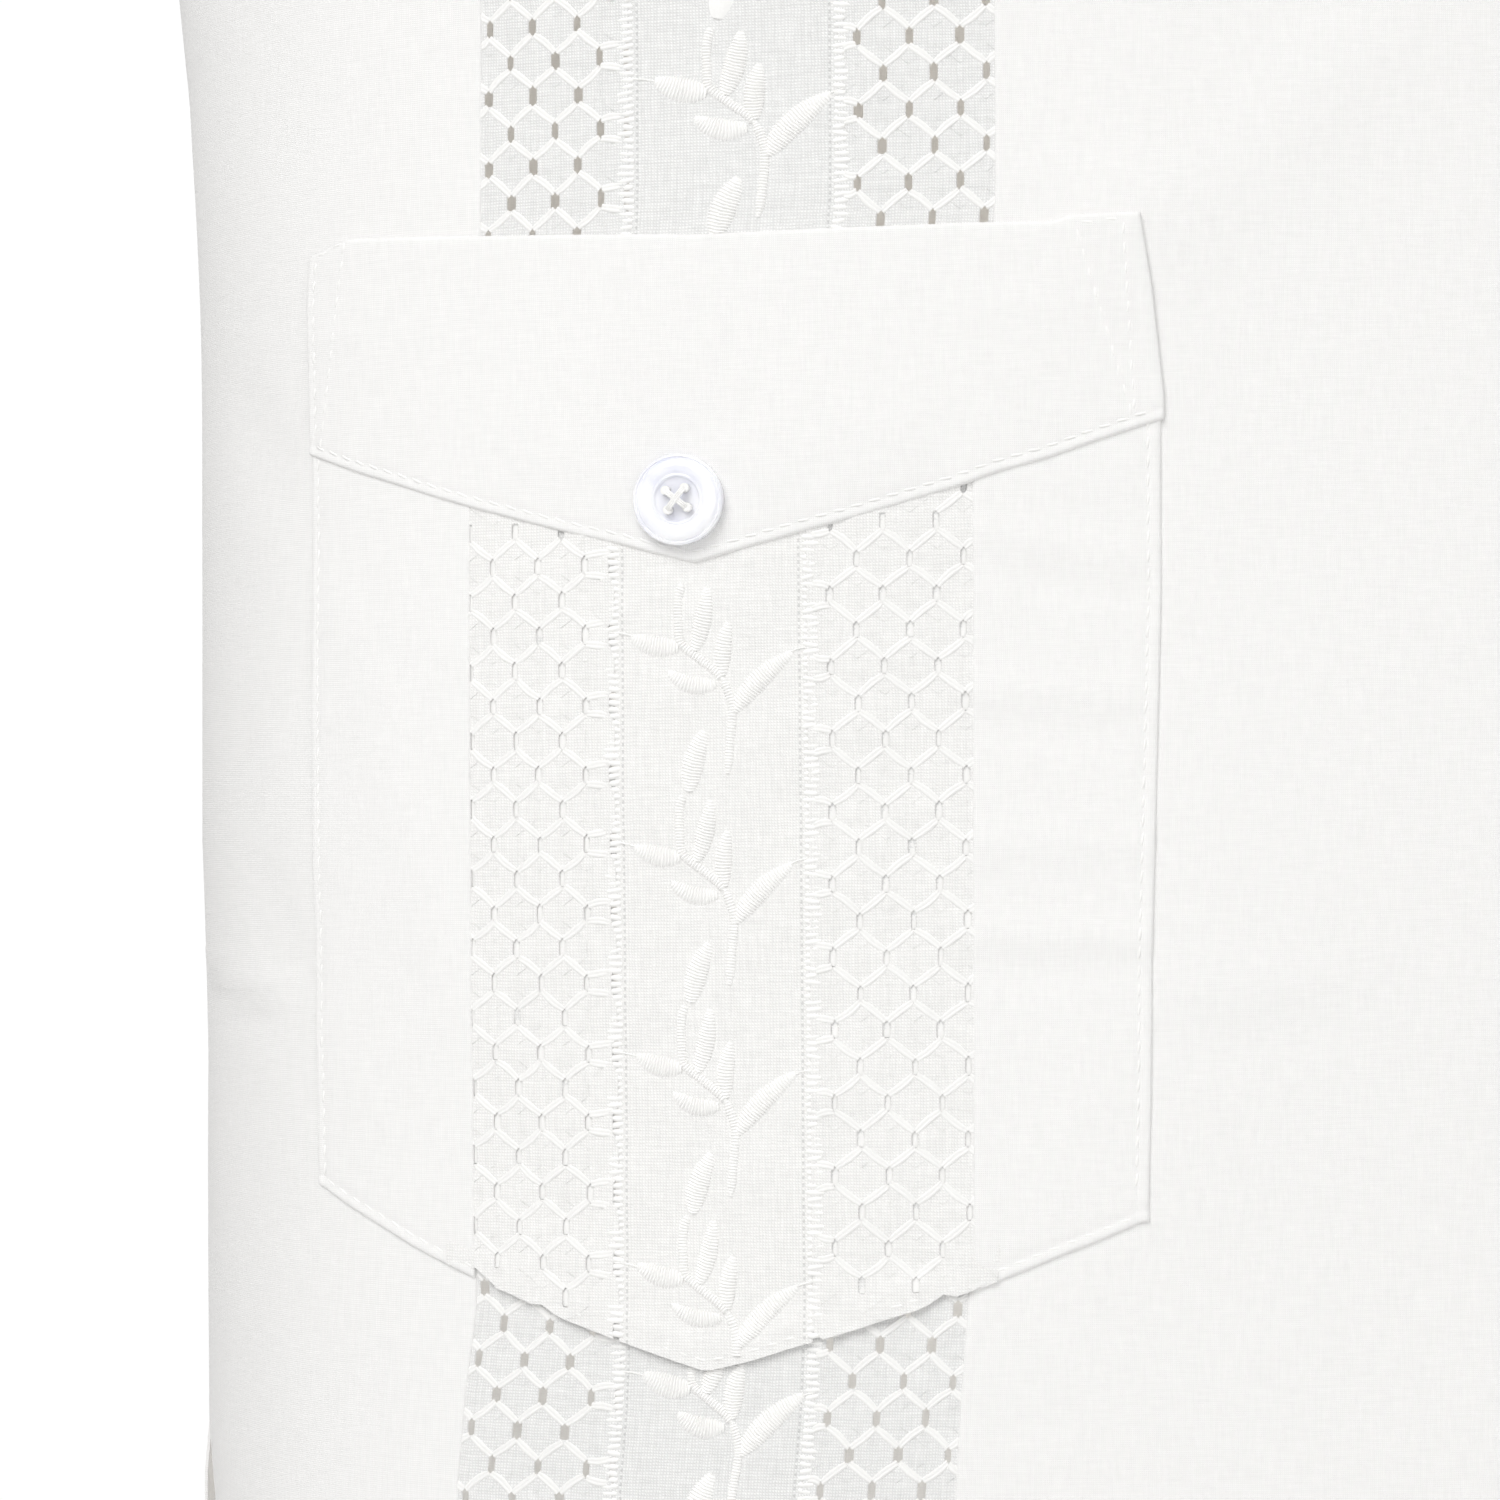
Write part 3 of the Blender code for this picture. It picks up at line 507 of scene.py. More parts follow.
NEEDLE_PITCH = 0.9 * MM
NEEDLE_WIDE = 0.14 * MM
STREAK_LONG = 240.0          # streaks a metre along a thread


def cloth_material(name, colour, pitch, weave_depth, gap_shade, slub, wobble, needle_lines=()):
    """Plain weave from the cloth's own flat measure, with uneven threads; the gaps between threads, low in
    the bump, are darkened as painted shade.
    """
    material, tree, shader = new_material(name, colour, 0.9, Specular_IOR_Level=0.25, Sheen_Weight=0.15)
    uv = add_node(tree, "ShaderNodeTexCoord")
    over = compute(tree, "MULTIPLY", *[thread_wave(tree, uv, axis, pitch, *wobble) for axis in "XY"])
    across = 1.0 / pitch * 0.8
    slubs = compute(tree, "MULTIPLY", *[streaks(tree, uv, scale, slub) for scale in (
        (across, STREAK_LONG, 1.0), (STREAK_LONG, across, 1.0))])
    # painted shade: the weave's gaps, where the bump is low, are darkened in the base colour; the slubs
    # are uneven threads
    tone = compute(tree, "MULTIPLY", remap(tree, over, 1.0 - gap_shade, 1.0), slubs)
    # painted shade of the needle holes along the needle lines
    if needle_lines:
        tone = compute(tree, "MULTIPLY", tone, needle_hole_shade(tree, uv, needle_lines))
    tint(tree, shader, colour, tone)
    add_bump(tree, shader, compute(tree, "MULTIPLY", over, slubs), 0.6, weave_depth)
    return material


def thread_material(name, colour):
    """Shiny twisted embroidery thread: fine ribs from the object's own space, with painted shade where the
    ribs are low.
    """
    material, tree, shader = new_material(name, colour, 0.55, Specular_IOR_Level=0.4, Sheen_Weight=0.2)
    place = add_node(tree, "ShaderNodeTexCoord")
    ribs = noise_value(tree, place, "Object", Scale=5200.0, Detail=2.0)
    add_bump(tree, shader, ribs, 0.35, 0.05 * MM)
    # painted shade: the tone follows the rib height, darker in the low places
    tint(tree, shader, colour, remap(tree, ribs, 0.93, 1.0))
    return material


def button_material():
    """Clear pearly resin with a faint blue cloud."""
    material, tree, shader = new_material(
        "pearl_resin", (0.93, 0.94, 0.99), 0.10, Subsurface_Weight=0.5, Subsurface_Radius=(1.0, 1.0, 1.0),
        Subsurface_Scale=1.6 * MM, IOR=1.52, Coat_Weight=0.9, Coat_Roughness=0.05)
    place = add_node(tree, "ShaderNodeTexCoord")
    cloud = noise_value(tree, place, "Object", Scale=130.0, Detail=3.0, Distortion=1.5)
    ramp = add_node(tree, "ShaderNodeValToRGB")
    shades = ((0.30, (0.80, 0.81, 0.91, 1.0)), (0.72, (0.97, 0.97, 0.995, 1.0)))
    for element, (position, shade) in zip(ramp.color_ramp.elements, shades):
        element.position = position
        element.color = shade
    link(tree, *cloud, ramp, "Fac")
    link(tree, ramp, "Color", shader, "Base Color")
    return material


NEEDLE_LINES = (STRIP_IN + 21.3 * MM, STRIP_OUT - 21.3 * MM)
POPLIN = cloth_material("poplin", (0.915, 0.909, 0.899), 0.26 * MM, 0.06 * MM, 0.075, 0.04, (1.4, 0.4))
# the single batiste's weave gaps are painted darker than the doubled pocket batiste's: painted shade of
# the dark inside of the shirt seen through the sheer cloth
BATISTE = cloth_material("batiste", (0.975, 0.973, 0.964), 0.38 * MM, 0.12 * MM, 0.19, 0.09, (3.0, 0.9),
                         NEEDLE_LINES)
POCKET_BATISTE = cloth_material("batiste_doubled", (0.970, 0.962, 0.947), 0.38 * MM, 0.11 * MM, 0.13, 0.07,
                                (3.0, 0.9), NEEDLE_LINES)
THREAD = thread_material("white_thread", (0.905, 0.899, 0.885))
CORD = thread_material("overcast_thread", (0.865, 0.859, 0.845))
PEARL = button_material()


# Cloth pieces

SHIRT = bpy.data.collections.new("dressed_shirt")
bpy.context.scene.collection.children.link(SHIRT)


def bare_mesh(name, points, faces, material, uv=None):
    """A new object from points and faces, with its flat measure as UVs."""
    mesh = bpy.data.meshes.new(name)
    mesh.from_pydata(np.asarray(points, float).tolist(), [], faces)
    if uv is not None:
        layer = mesh.uv_layers.new(name="flat")
        corner = np.zeros(len(mesh.loops), int)
        mesh.loops.foreach_get("vertex_index", corner)
        layer.data.foreach_set("uv", np.asarray(uv, float)[corner].ravel())
    mesh.validate()
    mesh.update()
    piece = bpy.data.objects.new(name, mesh)
    SHIRT.objects.link(piece)
    mesh.materials.append(material)
    return piece


def only(piece):
    bpy.ops.object.select_all(action="DESELECT")
    piece.select_set(True)
    bpy.context.view_layer.objects.active = piece


def apply_modifier(piece, kind, **values):
    modifier = piece.modifiers.new(kind.lower(), kind)
    for name, value in values.items():
        setattr(modifier, name, value)
    only(piece)
    bpy.ops.object.modifier_apply(modifier=modifier.name)


def give_wall(piece, thick):
    """Cloth thickness, inward from the outer face, and smooth shading."""
    apply_modifier(piece, "SOLIDIFY", thickness=thick, offset=-1.0)
    bpy.ops.object.shade_smooth_by_angle(angle=math.radians(38.0))


def grid_faces(rows, cols, ring=False):
    """Quads of a grid of points, wound so that they face out when u and level grow."""
    r, c = np.meshgrid(np.arange(rows - 1), np.arange(cols if ring else cols - 1), indexing="ij")
    d = (c + 1) % cols
    quads = np.stack([r * cols + c, r * cols + d, (r + 1) * cols + d, (r + 1) * cols + c], axis=-1)
    return quads.reshape(-1, 4)


def face_out(points, faces, normals):
    """The faces, turned over if they look into the cloth."""
    votes = 0.0
    for face in faces[:: max(1, len(faces) // 60)]:
        a, b, c = (points[i] for i in (face[0], face[1], face[2]))
        votes += float(np.dot(np.cross(b - a, c - a), normals[face[0]]))
    if votes < 0:
        return [list(face)[::-1] for face in faces]
    return [list(face) for face in faces]


def refine(grid, rows, cols):
    """The same grid with rows and cols times as many steps, by straight interpolation."""
    high, wide = grid.shape
    r = np.linspace(0, high - 1, (high - 1) * rows + 1)
    c = np.linspace(0, wide - 1, (wide - 1) * cols + 1)
    tall = np.stack([np.interp(r, np.arange(high), grid[:, k]) for k in range(wide)], axis=1)
    return np.stack([np.interp(c, np.arange(wide), row) for row in tall], axis=0)


def take_over(piece, node):
    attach(piece, "root")
    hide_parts(node)


def grid_cloth(node, points, normals, flat, thick, ring=False):
    """Poplin piece from a grid of points with outward normals and a flat measure (across, along)."""
    spots = points.reshape(-1, 3)
    faces = face_out(spots, grid_faces(*points.shape[:2], ring), normals.reshape(-1, 3))
    uv = np.stack([measure.ravel() for measure in flat], axis=1)
    piece = bare_mesh("cloth_" + node, spots, faces, POPLIN, uv)
    give_wall(piece, thick)
    take_over(piece, node)
    return piece


def sheet_on_shirt(node, u, level, out, thick=POPLIN_THICK):
    """Poplin piece over grids of u and level on the body."""
    points, normals = on_shirt(u, level, np.zeros_like(u) + out)
    return grid_cloth(node, points, normals, (u, level), thick)


SEWN = {}          # name of a cloth piece: names of the threads on it


def sewn_on(cloth, piece):
    SEWN.setdefault(cloth, []).append(piece.name)


FRONT_LEVELS = np.array([
    HEM, -0.713, -0.6905, VENT_TOP, -0.6457, -0.6235, -0.6015, -0.5795, -0.5575, -0.5355,
    -0.5135, -0.489, -0.464, -0.439, -0.413, -0.387, -0.361, -0.335, -0.309, -0.283,
    -0.262, -0.250, -0.243, -0.230, -0.205, -0.170, -0.140, -0.125])
POCKET_OUT_COLUMN = 0.1775
SIDE_SPREAD = np.array([0.0, 0.22, 0.44, 0.60, 0.74, 0.88, 1.0])
SIDE_SEAM = seam_share(STRIP_OUT) * (1.0 - SIDE_SPREAD)[::-1]
CENTRE_SEAM = seam_share(STRIP_IN) + (1.0 - seam_share(STRIP_IN)) * np.array([0.0, 0.5, 1.0])
BUTTON_SIDE_EDGE = -0.0145      # the right front runs on under the placket
PLACKET_HALF = 0.0165


def centre_columns(side, edge):
    """u of the columns of a front's centre part, out to an edge at the strip or the seam."""
    first = [BUTTON_SIDE_EDGE, 0.0030, PLACKET_HALF] if side < 0 else [0.0163]
    reach = (edge - PLACKET_HALF) / (STRIP_IN - PLACKET_HALF)
    rest = [PLACKET_HALF + (u - PLACKET_HALF) * reach for u in (0.040, 0.0635, STRIP_IN)]
    return np.array(first + rest)


def centre_grid(side):
    top = seam_level(STRIP_IN)
    count = 6 if side < 0 else 4
    grid_u = [centre_columns(side, STRIP_IN) for _ in FRONT_LEVELS[:-1]]
    grid_l = [np.full(count, lev) for lev in FRONT_LEVELS[:-1]]
    last = len(CENTRE_SEAM) - 1
    for k, f in enumerate(CENTRE_SEAM):
        u, lev = yoke_seam(f)
        front = (top - 0.006) + (NECK - top + 0.006) * k / last
        columns = centre_columns(side, u)
        share = unit((columns - PLACKET_HALF) / (u - PLACKET_HALF))
        lev = lev + (SEAM_TUCK if k < last else 0.0)
        grid_u.append(columns)
        grid_l.append(front + (lev - front) * share)
    return np.array(grid_u), np.array(grid_l)


def side_grid():
    grid_u = []
    grid_l = []
    for lev in FRONT_LEVELS[:-1]:
        edge = edge_u(lev, "front_turn")
        outer = POCKET_OUT_COLUMN + (edge - POCKET_OUT_COLUMN) * np.array([0.25, 0.5, 0.75, 1.0])
        grid_u.append(np.concatenate([[STRIP_OUT, 0.165, POCKET_OUT_COLUMN], outer]))
        grid_l.append(np.full(7, lev))
    seam = [yoke_seam(f) for f in SIDE_SEAM[::-1]]
    grid_u.append(np.array([u for u, lev in seam]))
    grid_l.append(np.array([lev + SEAM_TUCK for u, lev in seam]))
    return np.array(grid_u), np.array(grid_l)


FOLD_STEPS = np.array([0.0, 0.1, 0.25, 0.45, 0.9]) * MM           # distances from a folded edge
STITCHED_STEPS = np.array([0.0, 0.1, 0.25, 0.45, 0.9, 1.2, 1.5, 1.8, 2.3, 3.0]) * MM


def edge_roll(steps, rolled):
    """Out offsets that turn a folded edge in: steps from the edge in metres."""
    radius = 0.45 * MM
    inside = unit(1.0 - steps / radius)
    return -rolled * radius * (1.0 - np.sqrt(unit(1.0 - inside**2)))


def fold_first_column(u, level, out):
    """Thin extra columns beside the first one, so that the fold there can be round."""
    steps = FOLD_STEPS
    share = unit(steps / np.abs(u[:, 1:2] - u[:, :1]))
    lead_u, lead_level = (grid[:, :1] + (grid[:, 1:2] - grid[:, :1]) * share for grid in (u, level))
    roll = np.tile(edge_roll(steps, 1.0), (len(u), 1))
    pairs = ((lead_u, u), (lead_level, level), (roll, out))
    return [np.concatenate([lead, grid[:, 1:]], axis=1) for lead, grid in pairs]


def fold_both_edges(u, level):
    """Grids of u, level and out with thin extra columns along both edges."""
    left = fold_first_column(u, level, np.zeros_like(u))
    right = fold_first_column(*[grid[:, ::-1] for grid in left])
    return [grid[:, ::-1] for grid in right]


def step_down(height, x):
    """Full height well below x = 0 and nothing well above it."""
    return height / (1.0 + np.exp(np.clip(x, -40.0, 40.0)))


def hem_band(level, low, deep):
    """Doubled cloth of a turned hem: a low step where its inner fold ends."""
    up = (level - low) / MM
    band = step_down(0.22 * MM, (up - deep) * 2.2)
    stitch = -0.12 * MM * np.exp(-((up - deep + 2.0) / 0.5) ** 2)
    return band + stitch


def hem_rows(u, level, low, deep):
    """Extra rows at the hem, so that its band, stitch line and fold show."""
    wanted = low + np.array([0.15, 0.4, 0.9, deep - 3.0, deep - 2.4, deep - 2.0, deep - 1.6,
                             deep - 1.0, deep - 0.5, deep, deep + 0.5, deep + 1.0]) * MM
    for value in wanted:
        k = int(np.searchsorted(level[:, 0], value))
        if k <= 0 or k >= len(level) or abs(level[k, 0] - value) < 1e-6:
            continue
        f = (value - level[k - 1, 0]) / (level[k, 0] - level[k - 1, 0])
        new_u = u[k - 1] + (u[k] - u[k - 1]) * f
        new_l = level[k - 1] + (level[k] - level[k - 1]) * f
        u = np.insert(u, k, new_u, axis=0)
        level = np.insert(level, k, new_l, axis=0)
    return u, level


HEM_DEEP = 22.0          # millimetres
FRONT_FINE = {-1: (9, 5), 1: (6, 4)}     # rows and columns added; the close-up shows the right front


def build_front_part(part, grids, side, word):
    """Poplin part of a front, beside its openwork strip, from plan grids of u and level."""
    u, level = (refine(grid, *FRONT_FINE[side]) for grid in grids)
    u, level, out = fold_both_edges(u, level)
    u, level = hem_rows(u, level, HEM, HEM_DEEP)
    out = np.tile(out[0], (len(u), 1)) + hem_band(level, HEM, HEM_DEEP)
    piece = sheet_on_shirt("front_%s_%s" % (word, part), swayed(side * u, level), level, out)


def vent_flare(level, away):
    """How far the back hangs out beside a vent, at a distance from its side edge."""
    return 6.5 * MM * unit((VENT_TOP - level) / (VENT_TOP - HEM)) ** 0.6 * unit(1.0 - away / 0.10)


def build_back():
    levels = np.array([lev for lev in FRONT_LEVELS if lev < YOKE_BACK - 0.004] + [YOKE_BACK + SEAM_TUCK])
    levels = np.sort(np.unique(np.concatenate([levels, [-0.187, -0.155]])))
    f = np.linspace(0.0, 1.0, 11)
    ease = f + 0.10 * np.sin(2 * np.pi * f) * -0.5
    grid_u = []
    out = []
    for lev in levels:
        edge = edge_u(lev, "back_turn")
        half = float(np.interp(lev, LEVELS, HALF_GIRTH))
        run = edge + (half - edge) * ease
        grid_u.append(np.concatenate([-run, run[:-1][::-1]]))
        flare = vent_flare(lev, run - edge)
        out.append(np.concatenate([flare, flare[:-1][::-1]]))
    u = np.array(grid_u)
    level = np.repeat(levels[:, None], u.shape[1], axis=1)
    grids = (turn_across(turn_of(u, level)), back_run(u, level), np.array(out), level)
    turn, across, out, level = (refine(grid, 5, 4) for grid in grids)
    points, normals = by_turn(unwrap_back(turn), level)
    lift = out + hem_band(level, HEM, HEM_DEEP) + body_relief(across_to_u(across, level), level)
    points = points + normals * lift[..., None]
    piece = grid_cloth("back", points, normals, (across, level), POPLIN_THICK)


def turn_across(turn):
    """Ring angles running on through the middle of the back."""
    return np.where(turn < 0, turn, turn - 2 * np.pi)


def unwrap_back(turn):
    return np.where(turn < -np.pi, turn + 2 * np.pi, turn)


def back_run(u, level):
    """Distance from the middle of the back, signed like the ring angles run."""
    half = np.interp(level, LEVELS, HALF_GIRTH)
    return np.where(u < 0, half + u, u - half)


def across_to_u(across, level):
    half = np.interp(level, LEVELS, HALF_GIRTH)
    return np.where(across > 0, across - half, half + across)


def yoke_outline():
    """Ring angle and level along the yoke's low edge, from its front corner to the middle of the back."""
    rows = [(74.0, -0.112), (90.0, -0.105), (110.0, -0.112)]
    rows += [(t, YOKE_BACK) for t in (116.0, 126.0, 137.0, 148.0, 159.0, 170.0, 180.0)]
    return [YOKE_FRONT_ARM] + [(np.radians(t), level) for t, level in rows]


YOKE_NECK_TURNS = (65.0, 78.0, 92.0, 108.0, 122.0, 132.0, 142.0, 151.5, 161.0, 170.5, 180.0)
STRIP_SEAM = seam_share(np.array([STRIP_IN, 0.1035, STRIP_MID, 0.1365, STRIP_OUT])[::-1])
YOKE_SHARES = np.concatenate([SIDE_SEAM, STRIP_SEAM[1:], CENTRE_SEAM[1:]])


def yoke_edge(points):
    """The yoke lies on the tops of the fronts and the back along its seams."""
    width = points.shape[1]
    first = np.linalg.norm(points - points[:, :1], axis=-1)
    last = np.linalg.norm(points - points[:, -1:], axis=-1)
    low = np.linalg.norm(points - points[:1], axis=-1)
    back = np.abs(np.arange(width) - (width - 1) / 2) < 0.30 * width
    gap = np.minimum(first, last)
    gap = np.where(back[None, :], np.minimum(gap, low), gap)
    return YOKE_RISE * unit(1.9 - gap / (8 * MM))


def build_yoke():
    outline = yoke_outline()
    turn = np.zeros((len(YOKE_SHARES), len(outline)))
    level = np.zeros_like(turn)
    for r, f in enumerate(YOKE_SHARES):
        u, lev = yoke_seam(f)
        turn[r, 0] = turn_of(np.array(u), np.array(lev))
        level[r, 0] = lev
        for c in range(1, len(outline)):
            t0, l0 = outline[c]
            turn[r, c] = t0 + (np.radians(YOKE_NECK_TURNS[c]) - t0) * f
            level[r, c] = l0 + (NECK - l0) * f
    level[-1, 0] = NECK
    turn = refine(np.concatenate([-turn, turn[:, :-1][:, ::-1] - 2 * np.pi], axis=1), 5, 6)
    level = refine(np.concatenate([level, level[:, :-1][:, ::-1]], axis=1), 5, 6)
    points, normals = by_turn(unwrap_back(turn), level)
    noise = soft_noise(turn * 4.0 + 30, level / 0.03 + 60, 21) * 0.35 * MM
    points = points + normals * (noise + yoke_edge(points))[..., None]
    run = run_along(points, 1)
    run = run - run[:, -1:] / 2
    rise = run_along(points, 0)
    piece = grid_cloth("yoke", points, normals, (run, rise), POPLIN_THICK)
    a, b, c, d = points.reshape(-1, 3)[grid_faces(*turn.shape).T]


PLACKET_TOP = -0.0790


def build_placket():
    u = np.array([-0.0160, -0.0080, 0.0, 0.0080, 0.0160])
    rows = np.arange(HEM, PLACKET_TOP + 1e-9, 4.0 * MM)
    rows[-1] = PLACKET_TOP
    grids = (np.tile(u, (len(rows), 1)), np.repeat(rows[:, None], len(u), axis=1))
    u, level, out = fold_both_edges(*[refine(grid, 1, 3) for grid in grids])
    u, level = hem_rows(u, level, HEM, HEM_DEEP)
    out = np.tile(out[0], (len(u), 1)) + PLACKET_LIFT + hem_band(level, HEM, HEM_DEEP) * 0.6
    sheet_on_shirt("placket", u, level, out, PLACKET_THICK)


SLEEVE_FRONT_LEVELS = (-0.250, -0.243, -0.230, -0.205, -0.170, -0.140, -0.125)
SLEEVE_BACK_LEVELS = (-0.140, -0.155, -0.170, -0.187, -0.205, -0.230, -0.243)
SLEEVE_CENTRE = np.array([0.322, -0.006, -0.282])
SLEEVE_AXIS = np.array([0.500, -0.030, -0.866])
SLEEVE_UP = np.array([0.866, 0.0, 0.500])
SLEEVE_HALF_UP = 0.058
SLEEVE_HALF_DEEP = 0.064
SLEEVE_HEM = 25.0        # millimetres


def finer_steps(steps, count):
    at = np.linspace(0, len(steps) - 1, (len(steps) - 1) * count + 1)
    return np.interp(at, np.arange(len(steps)), steps)


def armhole_ring(finer):
    ring = [(armhole_turn(lev, "front_turn"), lev) for lev in SLEEVE_FRONT_LEVELS]
    ring += yoke_outline()[1:5]
    ring += [(armhole_turn(lev, "back_turn"), lev) for lev in SLEEVE_BACK_LEVELS]
    ring.append(ring[0])
    turn, level = np.array(ring, float).T
    return on_ring(finer_steps(turn, finer)[:-1], finer_steps(level, finer)[:-1])


def sleeve_turns(start, finer):
    tip = 8 * finer
    front = np.linalg.norm(np.diff(start[:tip + 1], axis=0), axis=1)
    closed = np.concatenate([start[tip:], start[:1]])
    back = np.linalg.norm(np.diff(closed, axis=0), axis=1)
    a = np.concatenate([[0.0], np.cumsum(front)]) / front.sum()
    b = np.cumsum(back) / back.sum()
    return np.concatenate([np.pi * (1 - a), -np.pi * b[:-1]])


def sleeve_surface(shares, finer):
    """Rows of points from the armhole to the sleeve hem, wearer's left."""
    start = armhole_ring(finer)
    turns = sleeve_turns(start, finer)
    rise = unit((start[:, 2] - start[0, 2]) / 0.19)
    leave = np.stack([np.ones_like(rise), 0 * rise, -0.10 - 0.42 * rise**2], axis=1)
    leave /= np.linalg.norm(leave, axis=1, keepdims=True)
    axis = SLEEVE_AXIS / np.linalg.norm(SLEEVE_AXIS)
    around = SLEEVE_HALF_UP * np.cos(turns)[:, None] * SLEEVE_UP
    around = around + SLEEVE_HALF_DEEP * np.sin(turns)[:, None] * np.array([0.0, -1.0, 0.0])
    end = SLEEVE_CENTRE + around
    reach = 0.030 + 0.045 * rise
    back = 0.045 + 0.045 * rise
    rows = []
    for f in shares:
        a, b, c, d = (1 - f)**3, 3 * f * (1 - f)**2, 3 * f**2 * (1 - f), f**3
        one = start + leave * reach[:, None]
        two = end - axis * back[:, None]
        rows.append(a * start + b * one + c * two + d * end)
    return np.array(rows), turns


def grid_normals(points, ring):
    if ring:
        across = np.roll(points, -1, axis=1) - np.roll(points, 1, axis=1)
    else:
        across = np.gradient(points, axis=1)
    along = np.gradient(points, axis=0)
    normal = np.cross(across, along)
    return normal / np.linalg.norm(normal, axis=-1, keepdims=True)


SLEEVE_FINER = 5


def sleeve_relief(turns, down, side):
    """Soft drag folds from the underarm and the shoulder; down is metres to the hem."""
    under = np.abs(turns)[None, :] / np.pi
    fold = 1.6 * MM * np.sin(under * 9.0 + down / 0.013) * np.exp(-((down - 0.10) / 0.05) ** 2) * under**2
    wide = soft_noise(turns[None, :] * 1.6 + 40 + 9 * side, down / 0.04 + 12, 31) * 0.9 * MM
    wide = wide * np.clip(down / 0.02, 0.15, 1.0)
    return fold + wide


def build_sleeve(side, word):
    shares = np.concatenate([np.linspace(0.0, 0.86, 30)[:-1], np.linspace(0.86, 1.0, 26)])
    points, turns = sleeve_surface(shares, SLEEVE_FINER)
    normal = grid_normals(points, True)
    centre = points.mean(axis=1, keepdims=True)
    if ((points - centre) * normal).sum() < 0:
        normal = -normal
    along = run_along(points, 0)
    down = along[-1:] - along
    start_fade = unit(along / 0.03)
    band = hem_band(down, 0.0, SLEEVE_HEM)
    lift = sleeve_relief(turns, down, side) * start_fade + band
    points = points + normal * lift[..., None]
    around = run_along(np.concatenate([points, points[:, :1]], axis=1), 1)
    flip = np.array([side, 1.0, 1.0])
    shown = points * flip
    out_normal = normal * flip
    flat = (around[:, :-1], -along)
    piece = grid_cloth("sleeve_" + word, shown, out_normal, flat, POPLIN_THICK, ring=True)
    return shown, out_normal, down


STAND_WALL = 1.8 * MM
STAND_ABOVE = 0.4 * MM         # from the neck ring to the stand's low edge
STAND_LEAN = 0.14              # inward for its height


def neck_steps():
    seam_u = yoke_seam(1.0)[0] - 0.0002
    right = np.degrees(turn_of(centre_columns(-1, seam_u), np.full(6, NECK)))
    left = np.degrees(turn_of(centre_columns(1, seam_u), np.full(4, NECK)))
    round_back = np.array(YOKE_NECK_TURNS)[1:]
    steps = [-right, -round_back, round_back[:-1][::-1] - 360.0, left[::-1] - 360.0, [-357.5, -373.0]]
    return np.radians(np.concatenate(steps))


def neck_frame(step):
    turn = (step + np.pi) % (2 * np.pi) - np.pi
    point = on_ring(turn, np.full_like(turn, NECK))
    ahead = on_ring(turn + 0.03, np.full_like(turn, NECK)) - on_ring(turn - 0.03, np.full_like(turn, NECK))
    outward = np.stack([ahead[:, 1], -ahead[:, 0], 0 * turn], axis=-1)
    outward /= np.linalg.norm(outward, axis=-1, keepdims=True)
    over = 0.0023 * unit((-np.degrees(step) - 305.0) / 38.0)
    return turn, point, outward, over


def stand_height(turn):
    return 0.0270 + 0.0055 * unit(-np.cos(turn)) - 0.0015 * np.sin(turn)**2


def free_sheet(node, points, outward, thick):
    """A sheet from a free grid of points, such as the collar."""
    normal = grid_normals(points, False)
    if (normal * outward).sum() < 0:
        normal = -normal
    across = run_along(points, 1)
    along = run_along(points, 0)
    piece = grid_cloth(node, points, normal, (across, along), thick)
    return normal


def build_stand():
    turn, point, outward, over = neck_frame(finer_steps(neck_steps(), 4))
    rows = []
    for share in np.linspace(0.0, 1.0, 9):
        up = stand_height(turn) * share
        out = over - STAND_LEAN * up
        lift = STAND_ABOVE + 0.4 * over + up
        rows.append(point + outward * out[:, None] + np.array([0, 0, 1.0]) * lift[:, None])
    free_sheet("collar_stand", np.array(rows), outward[None], STAND_WALL * 0.9)


COLLAR_COLUMNS = ("fold", "edge_turn", "edge_level")
COLLAR_EDGE = (
    (2.5, 11.5, -0.1030),
    (12.0, 17.5, -0.0985),
    (25.0, 25.0, -0.0930),
    (38.0, 35.0, -0.0875),
    (52.0, 48.5, -0.0830),
    (70.0, 69.0, -0.0803),
    (90.0, 90.0, -0.0795),
    (110.0, 111.0, -0.0795),
    (135.0, 136.0, -0.0795),
    (158.0, 158.5, -0.0793),
    (180.0, 180.0, -0.0792),
)
COLLAR_WALL = 0.0013
COLLAR_OFF = 0.0052


def collar_edge(turn):
    fold = column(COLLAR_EDGE, COLLAR_COLUMNS, "fold")
    where = np.abs(np.degrees(turn))
    edge_turn = np.interp(where, fold, column(COLLAR_EDGE, COLLAR_COLUMNS, "edge_turn"))
    level = np.interp(where, fold, column(COLLAR_EDGE, COLLAR_COLUMNS, "edge_level"))
    point, normal = by_turn(np.sign(turn) * np.radians(edge_turn), level)
    return point + normal * COLLAR_OFF


